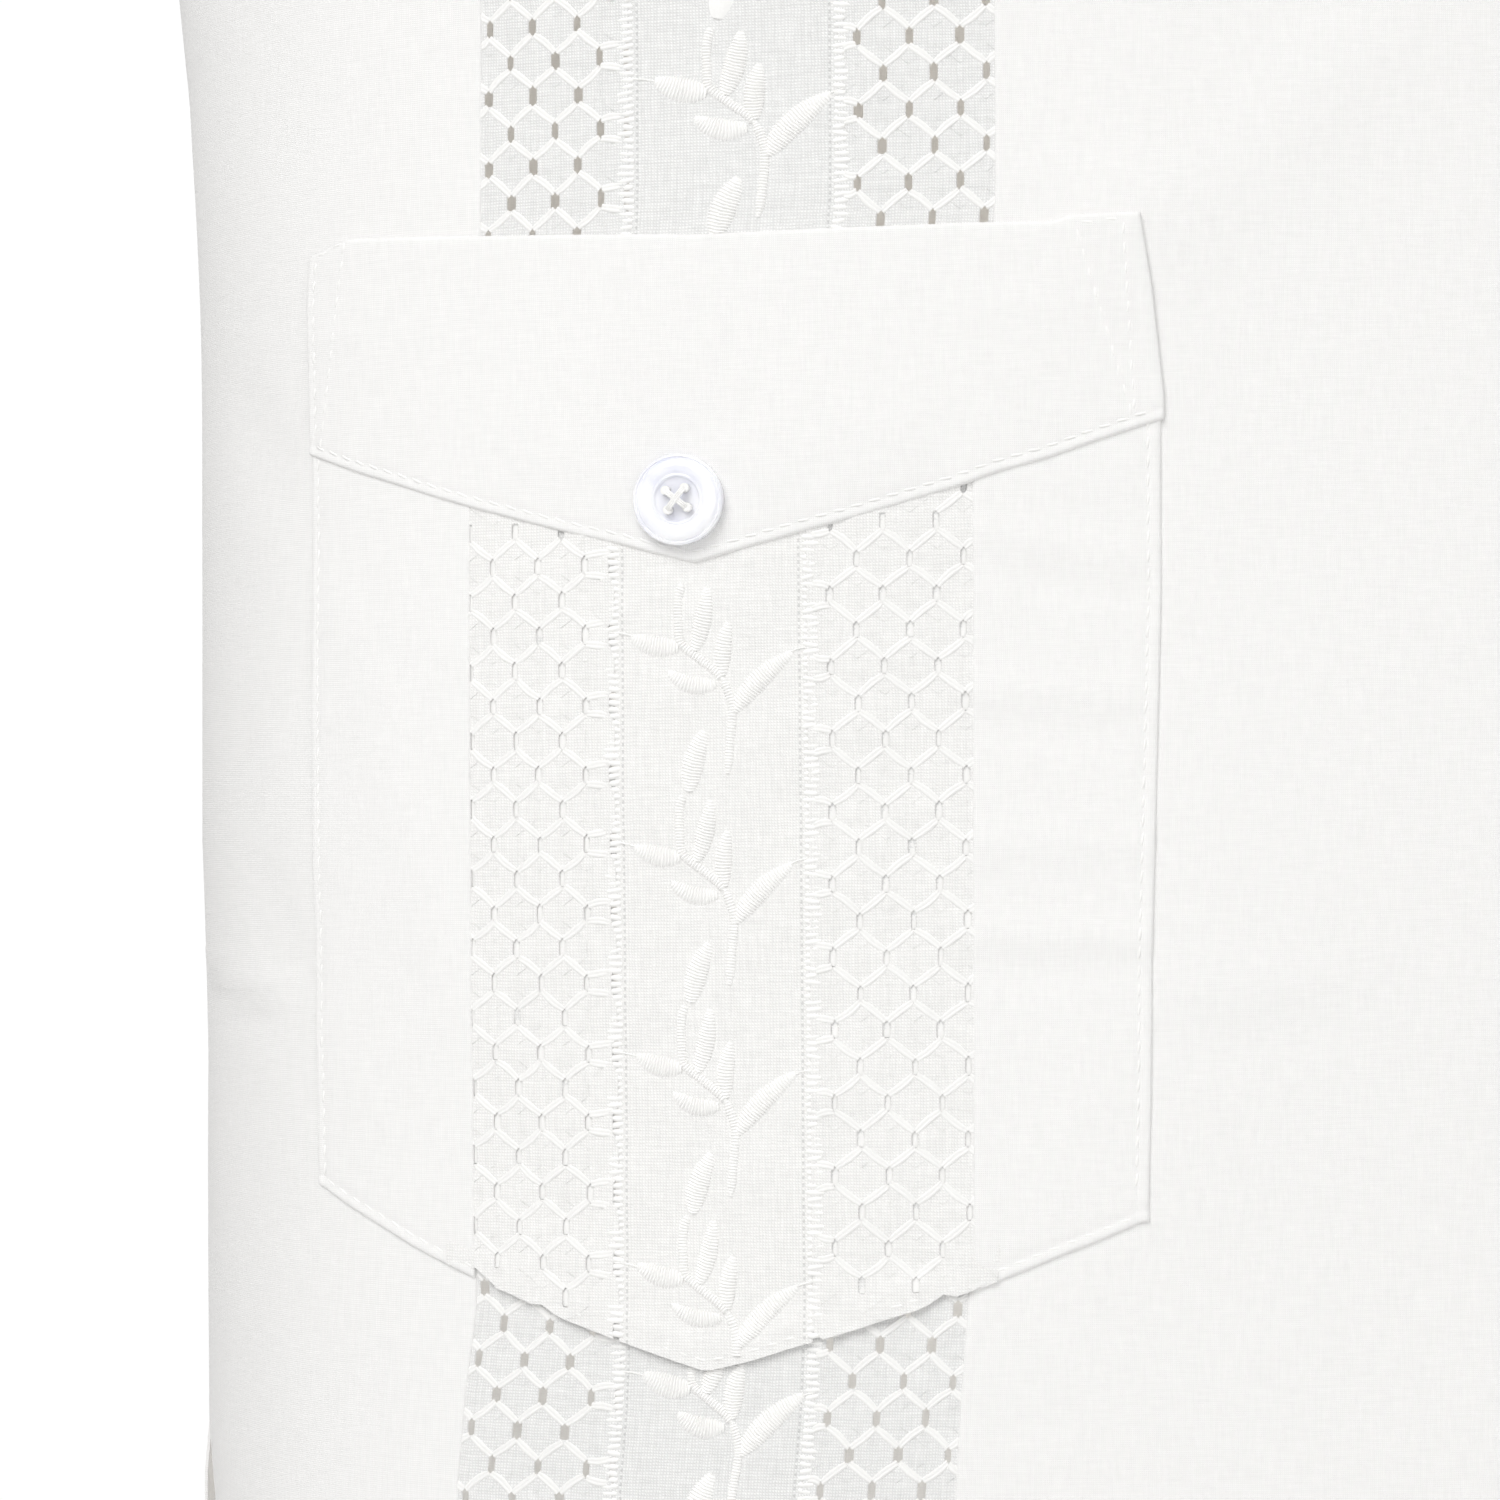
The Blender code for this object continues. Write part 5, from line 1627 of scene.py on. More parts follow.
def satin(batch, line, width, height, place, near, level0, shift, slant):
    """Satin stitch along a line of (x, y, half width share): a mound of threads laid across."""
    line = np.array(line)
    step = np.hypot(np.diff(line[:, 0]), np.diff(line[:, 1]))
    run = np.concatenate([[0.0], np.cumsum(step)])
    length = run[-1]
    threads = max(4, int(length * MM / THREAD_PITCH))
    count = threads * 4 + 1 if near else max(7, threads // 2 + 1)
    across_count = 7 if near else 4
    s = np.linspace(0, length, count)
    x = np.interp(s, run, line[:, 0])
    y = np.interp(s, run, line[:, 1])
    share = np.interp(s, run, line[:, 2])
    dx = np.gradient(x, s)
    dy = np.gradient(y, s)
    size = np.hypot(dx, dy)
    px, py = -dy / size, dx / size
    t = np.linspace(-1, 1, across_count)
    phase = 2 * np.pi * s / length * threads
    tooth = 1.0 + (0.12 * np.cos(phase) if near else 0.0 * phase)
    groove = 1.0 + (0.26 * np.cos(phase) if near else 0.0 * phase)
    half = width * 0.5 * share * tooth
    lean = slant * np.abs(t)[None, :] * width * 0.5
    xs = x[:, None] + px[:, None] * half[:, None] * t[None, :] + (dx / size)[:, None] * lean
    ys = y[:, None] + py[:, None] * half[:, None] * t[None, :] + (dy / size)[:, None] * lean
    dome = np.sqrt(unit(1 - t**2)) ** 1.3
    rise = height * share[:, None] ** 0.7 * dome[None, :] * groove[:, None] * MM - 0.05 * MM
    u, level = satin_point(level0, shift, xs, ys)
    under = np.full((count, 1), -0.16 * MM)
    middle_u, middle_level = satin_point(level0, shift, x[:, None], y[:, None])
    lay(batch, *[np.concatenate(pair, axis=1) for pair in (
        (u, middle_u), (level, middle_level), (rise, under))], place)


def leaf_line(leaf, jitter):
    s = np.linspace(0, 1, 15)
    bx, by = leaf["base_x"], leaf["base_y"]
    dx, dy = leaf["tip_x"] + jitter[0] - bx, leaf["tip_y"] + jitter[1] - by
    length = math.hypot(dx, dy)
    nx, ny = -dy / length, dx / length
    bend = leaf["belly"] * np.sin(np.pi * s) * 1.2
    share = np.clip(np.sin(np.pi * (0.06 + 0.90 * s) ** 0.85), 0.05, 1) ** 0.62
    return [(bx + dx * a + nx * b, by + dy * a + ny * b, w) for a, b, w in zip(s, bend, share)]


def smooth_line(points, count):
    """Smooth curve through plan points, with a width share that tapers at both ends."""
    p = np.array(points, float)
    at = np.linspace(0, len(p) - 1, count)
    slope = np.gradient(p, axis=0)
    i = np.clip(at.astype(int), 0, len(p) - 2)
    a, b, c, d = hermite((at - i)[:, None])
    line = a * p[i] + b * slope[i] + c * p[i + 1] + d * slope[i + 1]
    taper = np.clip(np.minimum(at, len(p) - 1 - at) / 0.25, 0.45, 1.0)
    return [(x, y, w) for (x, y), w in zip(line, taper)]


def vine(batch, origins, shift, edges, place, near_test, seed, broad, shown):
    """The climbing stem with its leaves, once for each origin level."""
    rng = np.random.default_rng(seed)
    for level0 in origins:
        near = near_test(level0 - 5 * MM)

        def within(line, margin):
            """Whether each point of a line is on the cloth; none is where no point is shown."""
            spots = [satin_point(level0, shift, x, y) for x, y, w in line]
            if not any(shown(u, lev) for u, lev in spots):
                return [False] * len(spots)
            return [inside(u, lev, edges, margin * MM) for u, lev in spots]

        def embroider(line, width, height, slant=0.0):
            satin(batch, line, width, height, place, near, level0, shift, slant)

        for leaf in LEAVES:
            line = leaf_line(leaf, rng.uniform(-0.25, 0.25, 2))
            if all(within(line, 0.4)):
                embroider(line, leaf["width"] * broad, 0.46, 0.10)
        for plan in STEMS:
            line = smooth_line(plan, 25)
            line = [point for point, kept in zip(line, within(line, 0.3)) if kept]
            if len(line) > 5 and any(within(line, 0.3)):
                embroider(line, 1.15, 0.36)
        for plan in STRAY:
            line = [(x, y, 0.9) for x, y, w in smooth_line(plan, 7)]
            if all(within(line, 0.3)):
                embroider(line, 0.30, 0.22)


def add_tube(batch, centre, aside, up, size, sides):
    """Closed tube round a line of points; aside and up are its half axes, size its share at each point."""
    angles = 2 * np.pi * np.arange(sides)[None, :, None] / sides
    around = aside[:, None, :] * np.cos(angles) + up[:, None, :] * np.sin(angles)
    points = centre[:, None, :] + around * size[:, None, None]
    batch.add(points.reshape(-1, 3), tube_faces(len(centre), sides))


STITCH_LONG = 1.85 * MM
STITCH_THICK = 0.165 * MM      # half its width
STITCH_SINK = 0.12 * MM        # pulled into a pocket's cloth


def stitch_row(batch, path, outward, near=False):
    """Lockstitches along a path of points: small bars whose ends dip into the cloth."""
    run = run_along(path, 0)
    count = int(run[-1] / STITCH_PITCH)
    if count < 1:
        return
    sides = 6 if near else 4
    stations = np.array([0.0, 0.16, 0.5, 0.84, 1.0]) if near else np.array([0.0, 0.5, 1.0])
    size = np.array([0.45, 0.95, 1.0, 0.95, 0.45]) if near else np.array([0.55, 1.0, 0.55])
    dip = np.array([-0.16, 0.04, 0.09, 0.04, -0.16]) if near else np.array([-0.12, 0.10, -0.12])
    for k in range(count):
        s = (k + 0.5) * run[-1] / count + (stations - 0.5) * STITCH_LONG
        centre = np.stack([np.interp(s, run, path[:, c]) for c in range(3)], axis=1)
        up = np.stack([np.interp(s, run, outward[:, c]) for c in range(3)], axis=1)
        up /= np.linalg.norm(up, axis=1, keepdims=True)
        ahead = centre[-1] - centre[0]
        ahead = ahead / max(np.linalg.norm(ahead), 1e-9)
        aside = np.cross(ahead, up)
        aside /= np.linalg.norm(aside, axis=1, keepdims=True)
        slant = (stations - 0.5) * STITCH_LONG * (0.13 if near else 0.0)
        centre = centre + up * (dip * MM)[:, None] + aside * slant[:, None]
        add_tube(batch, centre, aside * STITCH_THICK, up * STITCH_THICK * 0.75, size, sides)


def sew(batch, u, level, out, near=False):
    """A row of lockstitches along u and level on the shirt body."""
    stitch_row(batch, *on_shirt(np.asarray(u, float), np.asarray(level, float), out), near)


# Buttons

BUTTON_RADIUS = 5.7 * MM
# steps from the rim inward in millimetres: lip, groove, rounded ring, and the sunk middle
BUTTON_STEPS = (
    (0.20, 0.25), (0.10, 0.05), (0.10, -0.22), (0.10, 0.0), (0.20, 0.32), (0.45, 0.24), (0.45, 0.10),
    (0.50, -0.06), (0.36, -0.22), (0.12, 0.10), (0.18, 0.0), (0.20, -0.36))
HOLE_SPREAD = 1.22 * MM
# the thread that fills a hole: distance from its middle, angle, radius, sides, depth of its top
HOLE_THREADS = [(0.0, 0.0, 0.59, 12, 0.20)] + [
    (0.34, 0.4 + 1.2566 * k, 0.23, 6, 0.14) for k in range(5)]
HOLES = [(x, y) for x in (-1, 1) for y in (-1, 1)]


def model_button(segments):
    """Four-hole button with a broad rounded rim and a sunk middle, made once and copied."""
    bpy.ops.object.select_all(action="DESELECT")
    bpy.ops.mesh.primitive_cylinder_add(vertices=segments, radius=BUTTON_RADIUS, depth=1.9 * MM,
                                        location=(0, 0, 0.95 * MM))
    button = bpy.context.object
    bpy.ops.object.mode_set(mode="EDIT")
    bpy.ops.mesh.select_all(action="DESELECT")
    bpy.ops.object.mode_set(mode="OBJECT")
    for face in button.data.polygons:
        face.select = face.normal.z > 0.9
    bpy.ops.object.mode_set(mode="EDIT")
    for inward, rise in BUTTON_STEPS:
        bpy.ops.mesh.inset(thickness=inward * MM, depth=rise * MM)
    bpy.ops.object.mode_set(mode="OBJECT")
    apply_modifier(button, "BEVEL", width=0.05 * MM, segments=2, limit_method="ANGLE",
                   angle_limit=math.radians(22.0))
    for x, y in HOLES:
        bpy.ops.object.select_all(action="DESELECT")
        bpy.ops.mesh.primitive_cylinder_add(vertices=24, radius=0.60 * MM, depth=6 * MM,
                                            location=(x * HOLE_SPREAD, y * HOLE_SPREAD, 1.0 * MM))
        drill = bpy.context.object
        apply_modifier(button, "BOOLEAN", object=drill, operation="DIFFERENCE", solver="EXACT")
        bpy.data.objects.remove(drill, do_unlink=True)
    only(button)
    bpy.ops.object.shade_smooth_by_angle(angle=math.radians(35.0))
    return button


def frame_at(normal):
    """Axes of a button: across, up the cloth, and out of it."""
    up = np.array([0.0, 0.0, 1.0]) - normal * normal[2]
    up /= np.linalg.norm(up)
    return np.cross(up, normal), up, normal


def place_button(pattern, threads, name, node, point, normal, turn):
    """A copy of the button with its own mesh, moved to its place, and its crossed thread."""
    across, up, out = frame_at(normal)
    c, s = math.cos(turn), math.sin(turn)
    across, up = across * c + up * s, up * c - across * s
    mesh = pattern.data.copy()
    spot = np.zeros(len(mesh.vertices) * 3)
    mesh.vertices.foreach_get("co", spot)
    spot = spot.reshape(-1, 3)
    moved = point + spot[:, :1] * across + spot[:, 1:2] * up + spot[:, 2:] * out
    mesh.vertices.foreach_set("co", moved.ravel())
    mesh.update()
    mesh.name = name
    piece = bpy.data.objects.new(name, mesh)
    SHIRT.objects.link(piece)
    mesh.materials.clear()
    mesh.materials.append(PEARL)
    take_over(piece, node)
    button_threads(threads, point, across, up, out)


def button_threads(threads, point, across, up, out):
    """Thread in the four holes of a button and crossed between them."""
    top = 2.16 * MM
    for hole in HOLES:
        for away, turned, radius, sides, sunk in HOLE_THREADS:
            step = away * MM * np.array([math.cos(turned), math.sin(turned)])
            spot = np.array(hole) * HOLE_SPREAD + step
            down = np.linspace(top - sunk * MM, 0.0, 3)
            centre = point + spot[0] * across + spot[1] * up + down[:, None] * out
            round_thread(threads, centre, across, radius * MM, sides)
    for way in (1, -1):
        for side_step in (-0.24, 0.0, 0.24):
            offset = np.array([-way, 1.0]) * side_step * MM * 0.7
            ends = np.array([[-HOLE_SPREAD, -way * HOLE_SPREAD], [HOLE_SPREAD, way * HOLE_SPREAD]])
            t = np.linspace(0, 1, 9)
            line = ends[0] + (ends[1] - ends[0]) * t[:, None] + offset
            arch = top + 0.14 * MM * np.sin(np.pi * t) ** 0.5 - 0.4 * MM * (np.abs(t - 0.5) > 0.44)
            arch = arch + (0.10 * MM if way > 0 else 0.0)
            centre = point + line[:, :1] * across + line[:, 1:] * up + arch[:, None] * out
            round_thread(threads, centre, out, 0.15 * MM, 6)


def round_thread(batch, centre, out, radius, sides):
    """A round thread along a line of points."""
    ahead = np.gradient(centre, axis=0)
    ahead /= np.linalg.norm(ahead, axis=1, keepdims=True)
    aside = np.cross(ahead, out)
    aside /= np.linalg.norm(aside, axis=1, keepdims=True)
    up = np.cross(aside, ahead)
    add_tube(batch, centre, aside * radius, up * radius, np.ones(len(centre)), sides)


# Building the shirt

def in_view(level):
    """Height range that the close-up shows, with a margin."""
    return -0.692 < level < -0.484


SIDES = ((-1, "right"), (1, "left"))


def pocket_cover(u, level, cut):
    """1 well under a pocket's strip, 0 outside it."""
    within = (unit((u - STRIP_IN) / (1.5 * MM) + 1.0)
              * unit((STRIP_OUT - u) / (1.5 * MM) + 1.0))
    rise = unit((level - pocket_low(u, cut) - 1.0 * MM) / (1.5 * MM))
    fall = unit((cut["top"] - 2.0 * MM - level) / (3.0 * MM))
    return within * rise * fall


def pocket_strip_lift(u, level, cut):
    """Height of a pocket's strip on the shirt, with the turned-up hem along its low edge."""
    crinkle = soft_noise(u / (5 * MM) + 3, level / (5 * MM) + 8, 18) * 0.16 * MM
    gap = (level - pocket_low(u, cut)) / MM
    hem = step_down(0.40 * MM, (gap - 4.2) * 2.5)
    return POCKET_STRIP_LIFT + pocket_relief(u, level) + crinkle + hem


def behind_pockets(u, level, own):
    """The shirt's own strip lies close against the back of each pocket's strip."""
    for cut in POCKETS:
        cover = pocket_cover(u, level, cut)
        if np.any(cover > 0):
            against = pocket_strip_lift(u, level, cut) - STRIP_BEHIND
            own = own + (against - own) * cover
    return own


def pressed_share(u, level):
    """Threads of the shirt's strip are pressed flat where they run on under a pocket."""
    share = 1.0
    for cut in POCKETS:
        share = share * (1.0 - 0.85 * pocket_cover(u, level, cut))
    return share


def beside_pockets(u, level):
    """True where the shirt's strip is not under a pocket, which hides it."""
    return not any(pocket_low(np.array(u), cut) + 3.0 * MM < level < cut["top"] - 4.0 * MM
                   for cut in POCKETS)


def sew_threads(name, cloth, holes, plans, edges, origins, shift, place, near_test, seeds, broad=1.0,
                shown=all_shown):
    """The ridges, satin bars and vine of one strip, each with its own edges and seed."""
    cords = ThreadBatch()
    lattice_cords(cords, holes, plans, edges[0], place, near_test, seeds[0])
    cords.finish("thread_cords_" + name, cloth, CORD)
    satin_batch = ThreadBatch()
    border_rungs(satin_batch, edges[1], place, near_test, seeds[1], shown)
    vine(satin_batch, origins, shift, edges[2], place, near_test, seeds[2], broad, shown)
    satin_batch.finish("thread_satin_" + name, cloth)


def shirt_strip(side, word):
    def low_of(u):
        return HEM + 0.0 * np.asarray(u)

    def high_of(u):
        return seam_level(np.asarray(u, float)) - 0.6 * MM

    def tucked(u):
        return seam_level(np.asarray(u, float)) + SEAM_TUCK

    def lift(u, level):
        crinkle = soft_noise(u / (7 * MM) + 3, level / (6 * MM) + 8, 17) * 0.10 * MM
        own = -BATISTE_DROP + crinkle + hem_band(level, HEM, HEM_DEEP)
        return behind_pockets(np.asarray(u, float), level, own)

    def place(u, level, rise):
        return on_shirt(swayed(side * u, level), level, rise * pressed_share(u, level) + lift(u, level))[0]

    stem = "front_%s_strip" % word
    cloth = "cloth_" + stem
    near = in_view if side < 0 else (lambda level: False)
    plans = band_plans(SHIRT_BANDS)
    piece, holes = strip_mesh(cloth, side, (low_of, tucked), lift, 2.5 * MM, 100 + side, plans, BATISTE,
                              near, beside_pockets, swayed)
    take_over(piece, stem)
    length = float(high_of(np.array(STRIP_MID)) - HEM)
    origins = -0.5045 - SHIRT_MOTIF_PITCH * np.arange(-16, 10)
    sew_threads(word, cloth, holes, plans, [(low_of, high_of)] * 3, origins, -1.0 * MM, place, near,
                (200 + side, 300 + side, 400 + side), 1.18, beside_pockets)


def pocket(cut, side, word, threads, button):
    stem = cut["name"] + "_" + word
    near = side < 0 and cut["name"] == "pocket_lower"
    step = (1.2 if near else 4.0) * MM
    pocket_poplin(stem, "_centre", side, cut, PLAN_IN, STRIP_IN, step)
    pocket_poplin(stem, "_side", side, cut, STRIP_OUT - 0.0009, PLAN_OUT, step)
    build_facing(stem, side, cut, step)

    def low_of(u):
        return pocket_low(np.asarray(u, float), cut) + 0.3 * MM

    def high_of(u):
        return facing_low(np.asarray(u, float), cut) + 6.0 * MM

    def lift(u, level):
        u = np.asarray(u, float)
        gap = level - pocket_low(u, cut)
        flat = pocket_strip_lift(u, level, cut)
        return flat + edge_roll(gap, 1.6) + stitch_groove(gap, LOW_STITCH, u)

    def place(u, level, rise):
        return on_shirt(side * u, level, rise + lift(u, level))[0]

    def above_low(margin):
        return lambda u: low_of(u) + margin * MM

    def top_of(u):
        return facing_low(np.asarray(u, float), cut)

    def near_test(level):
        return near

    cloth = "cloth_" + stem + "_strip"
    seed = 500 + 10 * POCKETS.index(cut) + side
    plans = band_plans(POCKET_BANDS, cut["top"] - POCKETS[0]["top"])
    piece, holes = strip_mesh(cloth, side, (low_of, high_of), lift, (1.2 if near else 2.5) * MM, seed,
                              plans, POCKET_BATISTE, near_test)
    take_over(piece, stem + "_strip")
    first = cut["top"] + (-0.5739 - POCKETS[0]["top"])
    origins = first - POCKET_MOTIF_PITCH * np.arange(-1, 6)
    edges = [(above_low(margin), top_of) for margin in (1.2, 0.0, 0.6)]
    sew_threads(stem, cloth, holes, plans, edges, origins, 0.0, place, near_test,
                (seed + 1, seed + 2, seed + 3))
    stitches = ThreadBatch()
    pocket_stitches(stitches, side, cut, near)
    stitches.finish("thread_stitch_" + stem, "cloth_" + stem + "_facing")
    point, normal = on_shirt(np.array(side * BUTTON_U), np.array(cut["button"] + 0.0004),
                             np.array(FACING_LIFT + 0.25 * MM))
    place_button(button, threads, "shown_%s_button" % stem, stem + "_button", point, normal, 0.12)


def pocket_stitches(batch, side, cut, near):
    """Topstitching round a pocket and on its facing."""
    f = np.linspace(0.012, 0.80, 60)
    side_level = cut["corner"] + (cut["top"] - cut["corner"]) * f
    low_u = np.linspace(0.0662 + POCKET_STITCH_IN, POCKET_OUT - POCKET_STITCH_OUT, 120)
    face_u = np.linspace(0.0652, 0.1755, 120)
    g = np.linspace(0.80, 0.99, 20)
    face_level = cut["corner"] + (cut["top"] - cut["corner"]) * g
    on_pocket = (
        (pocket_inner(f) + POCKET_STITCH_IN, side_level, POCKET_LIFT),
        (pocket_outer(f) - POCKET_STITCH_OUT, side_level, POCKET_LIFT),
        (low_u, pocket_low(low_u, cut) + LOW_STITCH, POCKET_LIFT - 0.05 * MM))
    on_facing = [(face_u, facing_low(face_u, cut) + FACING_STITCH),
                 (pocket_outer(g) - FACING_STITCH_OUT, face_level)]
    top = cut["top"]
    corner = cut["facing_corner"]
    for u_a, level_a, u_b, level_b in (
            (0.0683, top - 0.0002, 0.0670, corner + 0.0017),
            (0.0742, top - 0.0009, 0.0672, corner + 0.0011),
            (0.1698, top + 0.0010, 0.1746, corner - 0.0002),
            (0.0683, top - 0.0001, 0.0742, top - 0.0007),
            (0.1698, top + 0.0008, 0.1748, top - 0.0010)):
        on_facing.append((np.linspace(u_a, u_b, 60), np.linspace(level_a, level_b, 60)))
    for u, level, lift in on_pocket:
        sew(batch, side * u, level, lift + pocket_relief(u, level) - STITCH_SINK, near)
    for u, level in on_facing:
        lift = facing_lift(u, level - facing_low(u, cut)) + FACING_RELIEF * pocket_relief(u, level)
        sew(batch, side * u, level, lift - STITCH_SINK, near)


def body_stitches():
    """Topstitching of the hem, vents, placket, yoke and armholes."""
    batch = ThreadBatch()
    down = HEM + (HEM_DEEP - 2.0) * MM
    for side in (-1, 1):
        edge = edge_u(down, "front_turn")
        for a, b, drop in ((0.0170, STRIP_IN, 0.0), (STRIP_IN, STRIP_OUT, BATISTE_DROP),
                           (STRIP_OUT, edge - 0.004, 0.0)):
            sew(batch, np.linspace(side * a, side * b, 80), np.full(80, down), 0.22 * MM - drop)
        levels = np.linspace(HEM + 0.002, VENT_TOP, 40)
        sew(batch, [side * (edge_u(lev, "front_turn") - 0.006) for lev in levels], levels, 0.05 * MM)
        levels = np.linspace(UNDERARM + 0.004, -0.127, 60)
        for edge_name, back in (("front_turn", -1), ("back_turn", 1)):
            us = [side * (edge_u(lev, edge_name) + back * 0.0065) for lev in levels]
            sew(batch, us, levels, 0.02 * MM)
        levels = np.linspace(VENT_TOP, UNDERARM, 120)
        sew(batch, [side * (u_of(SEAM_TURN, lev) - 0.0015) for lev in levels], levels, 0.02 * MM)
        u, level = np.array([yoke_seam(f) for f in np.linspace(0.02, 0.985, 60)]).T
        sew(batch, side * u, level + ABOVE_SEAM, YOKE_RISE + 0.05 * MM)
    for u in (-0.0125, 0.0125):
        sew(batch, np.full(200, u), np.linspace(HEM + 0.002, -0.0815, 200), PLACKET_LIFT)
    back_yoke_stitches(batch)
    back_hem_stitches(batch, down)
    batch.finish("thread_stitch_body", "cloth_back")


ABOVE_SEAM = 2.2 * MM


def signed_turn(degrees):
    """Ring angles from degrees; those past the middle of the back count as the other side's."""
    turn = np.radians(degrees)
    return np.where(turn > np.pi, turn - 2 * np.pi, turn)


def back_yoke_stitches(batch):
    turn = signed_turn(np.concatenate([np.linspace(117, 180, 60), np.linspace(180, 243, 60)[1:]]))
    level = np.full(len(turn), YOKE_BACK + ABOVE_SEAM)
    path, normal = by_turn(turn, level)
    stitch_row(batch, path + normal * (YOKE_RISE + 0.12 * MM), normal)


def back_hem_stitches(batch, down):
    turn = signed_turn(np.linspace(96.5, 263.5, 200))
    level = np.full(len(turn), down)
    path, normal = by_turn(turn, level)
    u_back = np.where(turn > 0, 1, -1) * np.array([u_of(abs(t), down) for t in turn])
    flare = vent_flare(down, np.abs(u_back) - edge_u(down, "back_turn"))
    lift = flare + body_relief(u_back, level) + 0.25 * MM
    stitch_row(batch, path + normal * lift[:, None], normal)


def crossing(grid, run, where):
    """Points of a grid's columns where the run along each reaches its value in where."""
    return np.array([[np.interp(where[c], run[:, c], grid[:, c, k]) for k in range(3)]
                     for c in range(grid.shape[1])])


def sleeve_stitches(points, normal, down, word):
    batch = ThreadBatch()
    points, normal, down = (np.concatenate([grid, grid[:, :1]], axis=1)[::-1]
                            for grid in (points, normal, down))
    where = np.full(points.shape[1], (SLEEVE_HEM - 2.0) * MM)
    out = crossing(normal, down, where)
    stitch_row(batch, crossing(points, down, where) + out * 0.12 * MM, out)
    batch.finish("thread_stitch_sleeve_" + word, "cloth_sleeve_" + word)


def collar_stitches(points, normal):
    """Topstitching a quarter inch in from the collar's edge and points."""
    batch = ThreadBatch()
    along = run_along(points, 0)
    where = along[-1] - 6.0 * MM
    path = crossing(points, along, where)
    out = crossing(normal, along, where)
    across = run_along(path, 0)
    keep = (across > 5.5 * MM) & (across < across[-1] - 5.5 * MM)
    stitch_row(batch, path[keep] + out[keep] * 0.1 * MM, out[keep])
    for c in np.flatnonzero(keep)[[0, -1]]:
        rows = np.flatnonzero((along[:, c] < where[c]) & (np.arange(len(points)) > 10))
        stitch_row(batch, points[rows, c] + normal[rows, c] * 0.1 * MM, normal[rows, c])
    batch.finish("thread_stitch_collar", "cloth_collar")


FRONT_BUTTON_LEVELS = (-0.140, -0.225, -0.310, -0.395, -0.480, -0.565)


def front_buttons(button, threads):
    for k, level in enumerate(FRONT_BUTTON_LEVELS):
        point, normal = on_shirt(np.array(0.0), np.array(level), np.array(PLACKET_LIFT + 0.3 * MM))
        place_button(button, threads, "shown_button_front_%d" % (k + 1), "button_front_%d" % (k + 1),
                     point, normal, 0.4 * k)
        buttonhole(threads, level)
    turn, point, outward, over = neck_frame(np.array([-2 * np.pi]))
    height = stand_height(turn)[0] * 0.5
    out = over[0] - height * STAND_LEAN + 0.4 * MM
    spot = point[0] + outward[0] * out + np.array([0, 0, STAND_ABOVE + height])
    facing = outward[0] + np.array([0.0, 0.0, STAND_LEAN])
    facing /= np.linalg.norm(facing)
    place_button(button, threads, "shown_button_neck", "button_neck", spot, facing, 0.3)


def buttonhole(batch, level):
    """Upright worked buttonhole, whose ends show above and below the button."""
    def place(u, lev, rise):
        return on_shirt(u, lev, rise + PLACKET_LIFT)[0]
    for way in (-1, 1):
        for k in range(46):
            lev = level - 8.2 * MM + k * 0.36 * MM
            bar(batch, (way * 0.25 * MM, lev), (way * 1.15 * MM, lev), RUNG, 3, place)


def build_shirt():
    for side, word in SIDES:
        build_front_part("centre", centre_grid(side), side, word)
        build_front_part("side", side_grid(), side, word)
        shirt_strip(side, word)
    build_back()
    build_yoke()
    build_placket()
    for side, word in SIDES:
        sleeve_stitches(*build_sleeve(side, word), word)
    build_stand()
    collar_stitches(*build_collar())
    body_stitches()
    fine_button = model_button(64)
    button = model_button(40)
    threads = ThreadBatch()
    for cut in POCKETS:
        for side, word in SIDES:
            shown = side < 0 and cut is POCKETS[0]
            pocket(cut, side, word, threads, fine_button if shown else button)
    front_buttons(button, threads)
    threads.finish("thread_buttons", "cloth_placket")
    bpy.data.objects.remove(fine_button, do_unlink=True)
    bpy.data.objects.remove(button, do_unlink=True)


build_shirt()


# Floor, light and camera

def stage_floor():
    bpy.ops.object.select_all(action="DESELECT")
    bpy.ops.mesh.primitive_plane_add(size=5.0, location=(0, 0, -1.45))
    floor = bpy.context.object
    floor.name = "floor"
    floor.data.materials.append(new_material("pale_floor", (0.90, 0.90, 0.89), 0.8)[0])


def add_lamp(name, kind, place, power, colour):
    data = bpy.data.lights.new(name, kind)
    data.energy = power
    data.color = colour
    lamp = bpy.data.objects.new(name, data)
    bpy.context.scene.collection.objects.link(lamp)
    lamp.location = place
    return lamp


def soft_light(name, place, aim, size, power, colour=(1.0, 1.0, 1.0)):
    lamp = add_lamp(name, "AREA", place, power, colour)
    lamp.data.shape = "RECTANGLE"
    lamp.data.size, lamp.data.size_y = size
    way = np.array(aim, float) - np.array(place, float)
    yaw = math.atan2(way[0], way[1])
    pitch = math.atan2(way[2], math.hypot(way[0], way[1]))
    lamp.rotation_euler = (math.pi / 2 + pitch, 0.0, -yaw)


def inner_glow(height):
    """Daylight that comes through the thin cloth into the empty shirt."""
    lamp = add_lamp("inner_glow", "POINT", (0.0, 0.0, height), 0.15, (1.0, 0.93, 0.83))
    lamp.data.shadow_soft_size = 0.04


def room_light(tree):
    """Light of the white room by direction: more from the front, less from the left."""
    place = add_node(tree, "ShaderNodeTexCoord")
    dot = add_node(tree, "ShaderNodeVectorMath", {1: ROOM_SLOPE}, operation="DOT_PRODUCT")
    link(tree, place, "Generated", dot, 0)
    return compute(tree, "ADD", (dot, "Value"), ROOM_LIGHT)


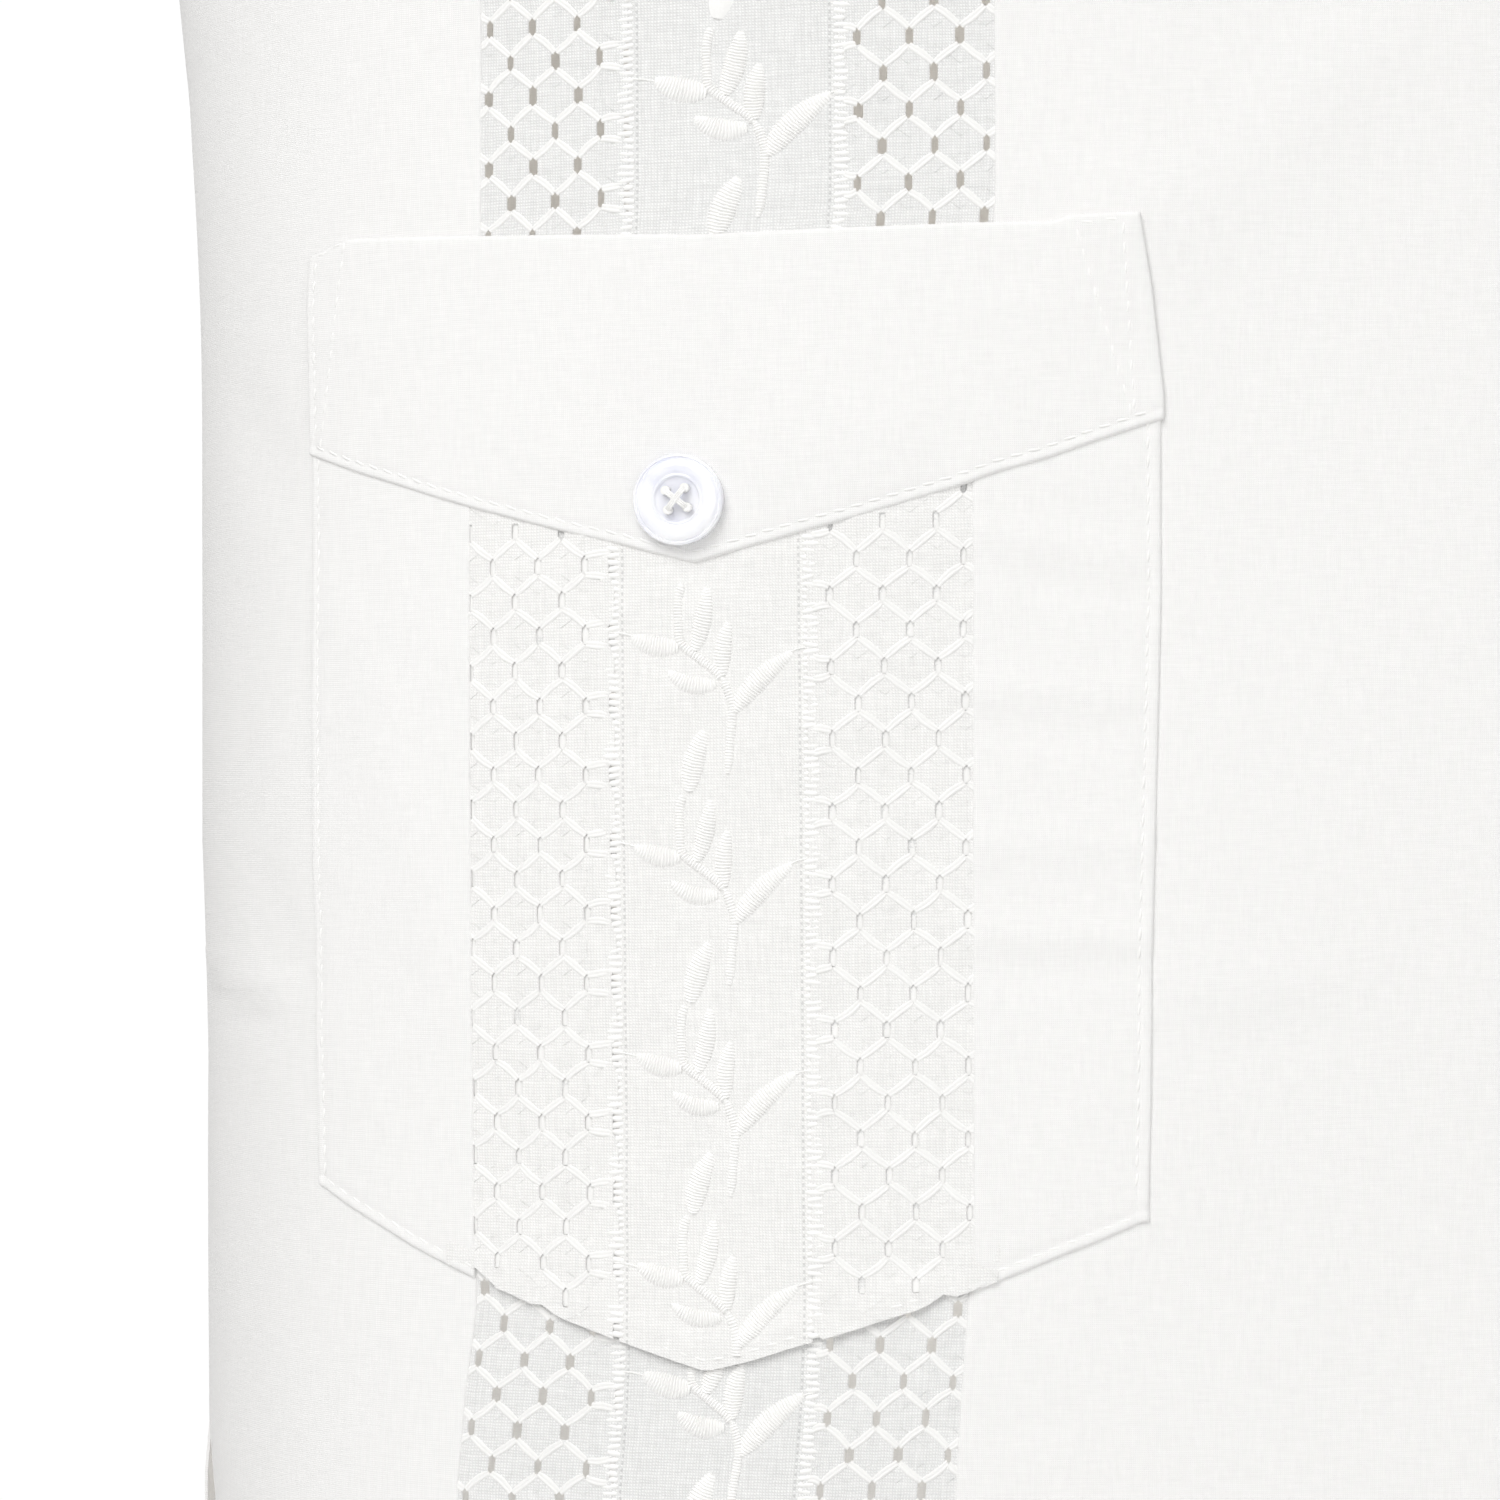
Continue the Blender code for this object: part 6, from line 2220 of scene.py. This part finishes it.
def white_room():
    """White surroundings; the shirt is lit a little less than the bare backdrop shows."""
    world = bpy.data.worlds.new("white_room")
    bpy.context.scene.world = world
    world.use_nodes = True
    tree = world.node_tree
    back = tree.nodes["Background"]
    set_sockets(back, {"Color": (1.0, 1.0, 1.0, 1.0)})
    path = add_node(tree, "ShaderNodeLightPath")
    level = add_node(tree, "ShaderNodeMapRange", {"To Max": 1.02})
    link(tree, *room_light(tree), level, "To Min")
    link(tree, path, "Is Camera Ray", level, "Value")
    link(tree, level, "Result", back, "Strength")


ROOM_LIGHT = 0.42
ROOM_SLOPE = (0.07, -0.20, 0.0)
CAMERA_PLACE = (-0.1473, -0.5677, -0.5918)
CAMERA_YAW = 0.0657          # toward the buttons
CAMERA_PITCH = 0.0088
CAMERA_ROLL = 0.0088
CAMERA_FOCAL = 96.0          # on a 36 mm frame


def set_camera():
    data = bpy.data.cameras.new("camera")
    data.sensor_width = 36.0
    data.lens = CAMERA_FOCAL
    data.clip_start = 0.02
    data.clip_end = 50.0
    camera = bpy.data.objects.new("camera", data)
    bpy.context.scene.collection.objects.link(camera)
    camera.location = CAMERA_PLACE
    camera.rotation_mode = "XYZ"
    camera.rotation_euler = (math.pi / 2 + CAMERA_PITCH, CAMERA_ROLL, -CAMERA_YAW)
    bpy.context.scene.camera = camera


stage_floor()
white_room()
soft_light("key", (-1.31, -2.08, 1.56), (-0.12, 0.0, -0.56), (1.9, 1.9), 65.5)
inner_glow(-0.36)
inner_glow(-0.60)
soft_light("front", (0.8, -2.6, -0.4), (-0.1, 0.0, -0.55), (1.6, 2.0), 9.0)
soft_light("side_right", (-2.3, 0.5, -0.3), (-0.15, 0.0, -0.50), (1.6, 2.0), 4.0, (1.0, 0.965, 0.955))
soft_light("side_left", (2.4, 0.7, -0.2), (0.15, 0.0, -0.40), (1.6, 2.0), 6.0)
soft_light("back", (0.4, 2.8, 0.3), (0.0, 0.1, -0.40), (2.0, 2.0), 44.0)
bpy.context.scene.view_settings.view_transform = "Standard"
set_camera()
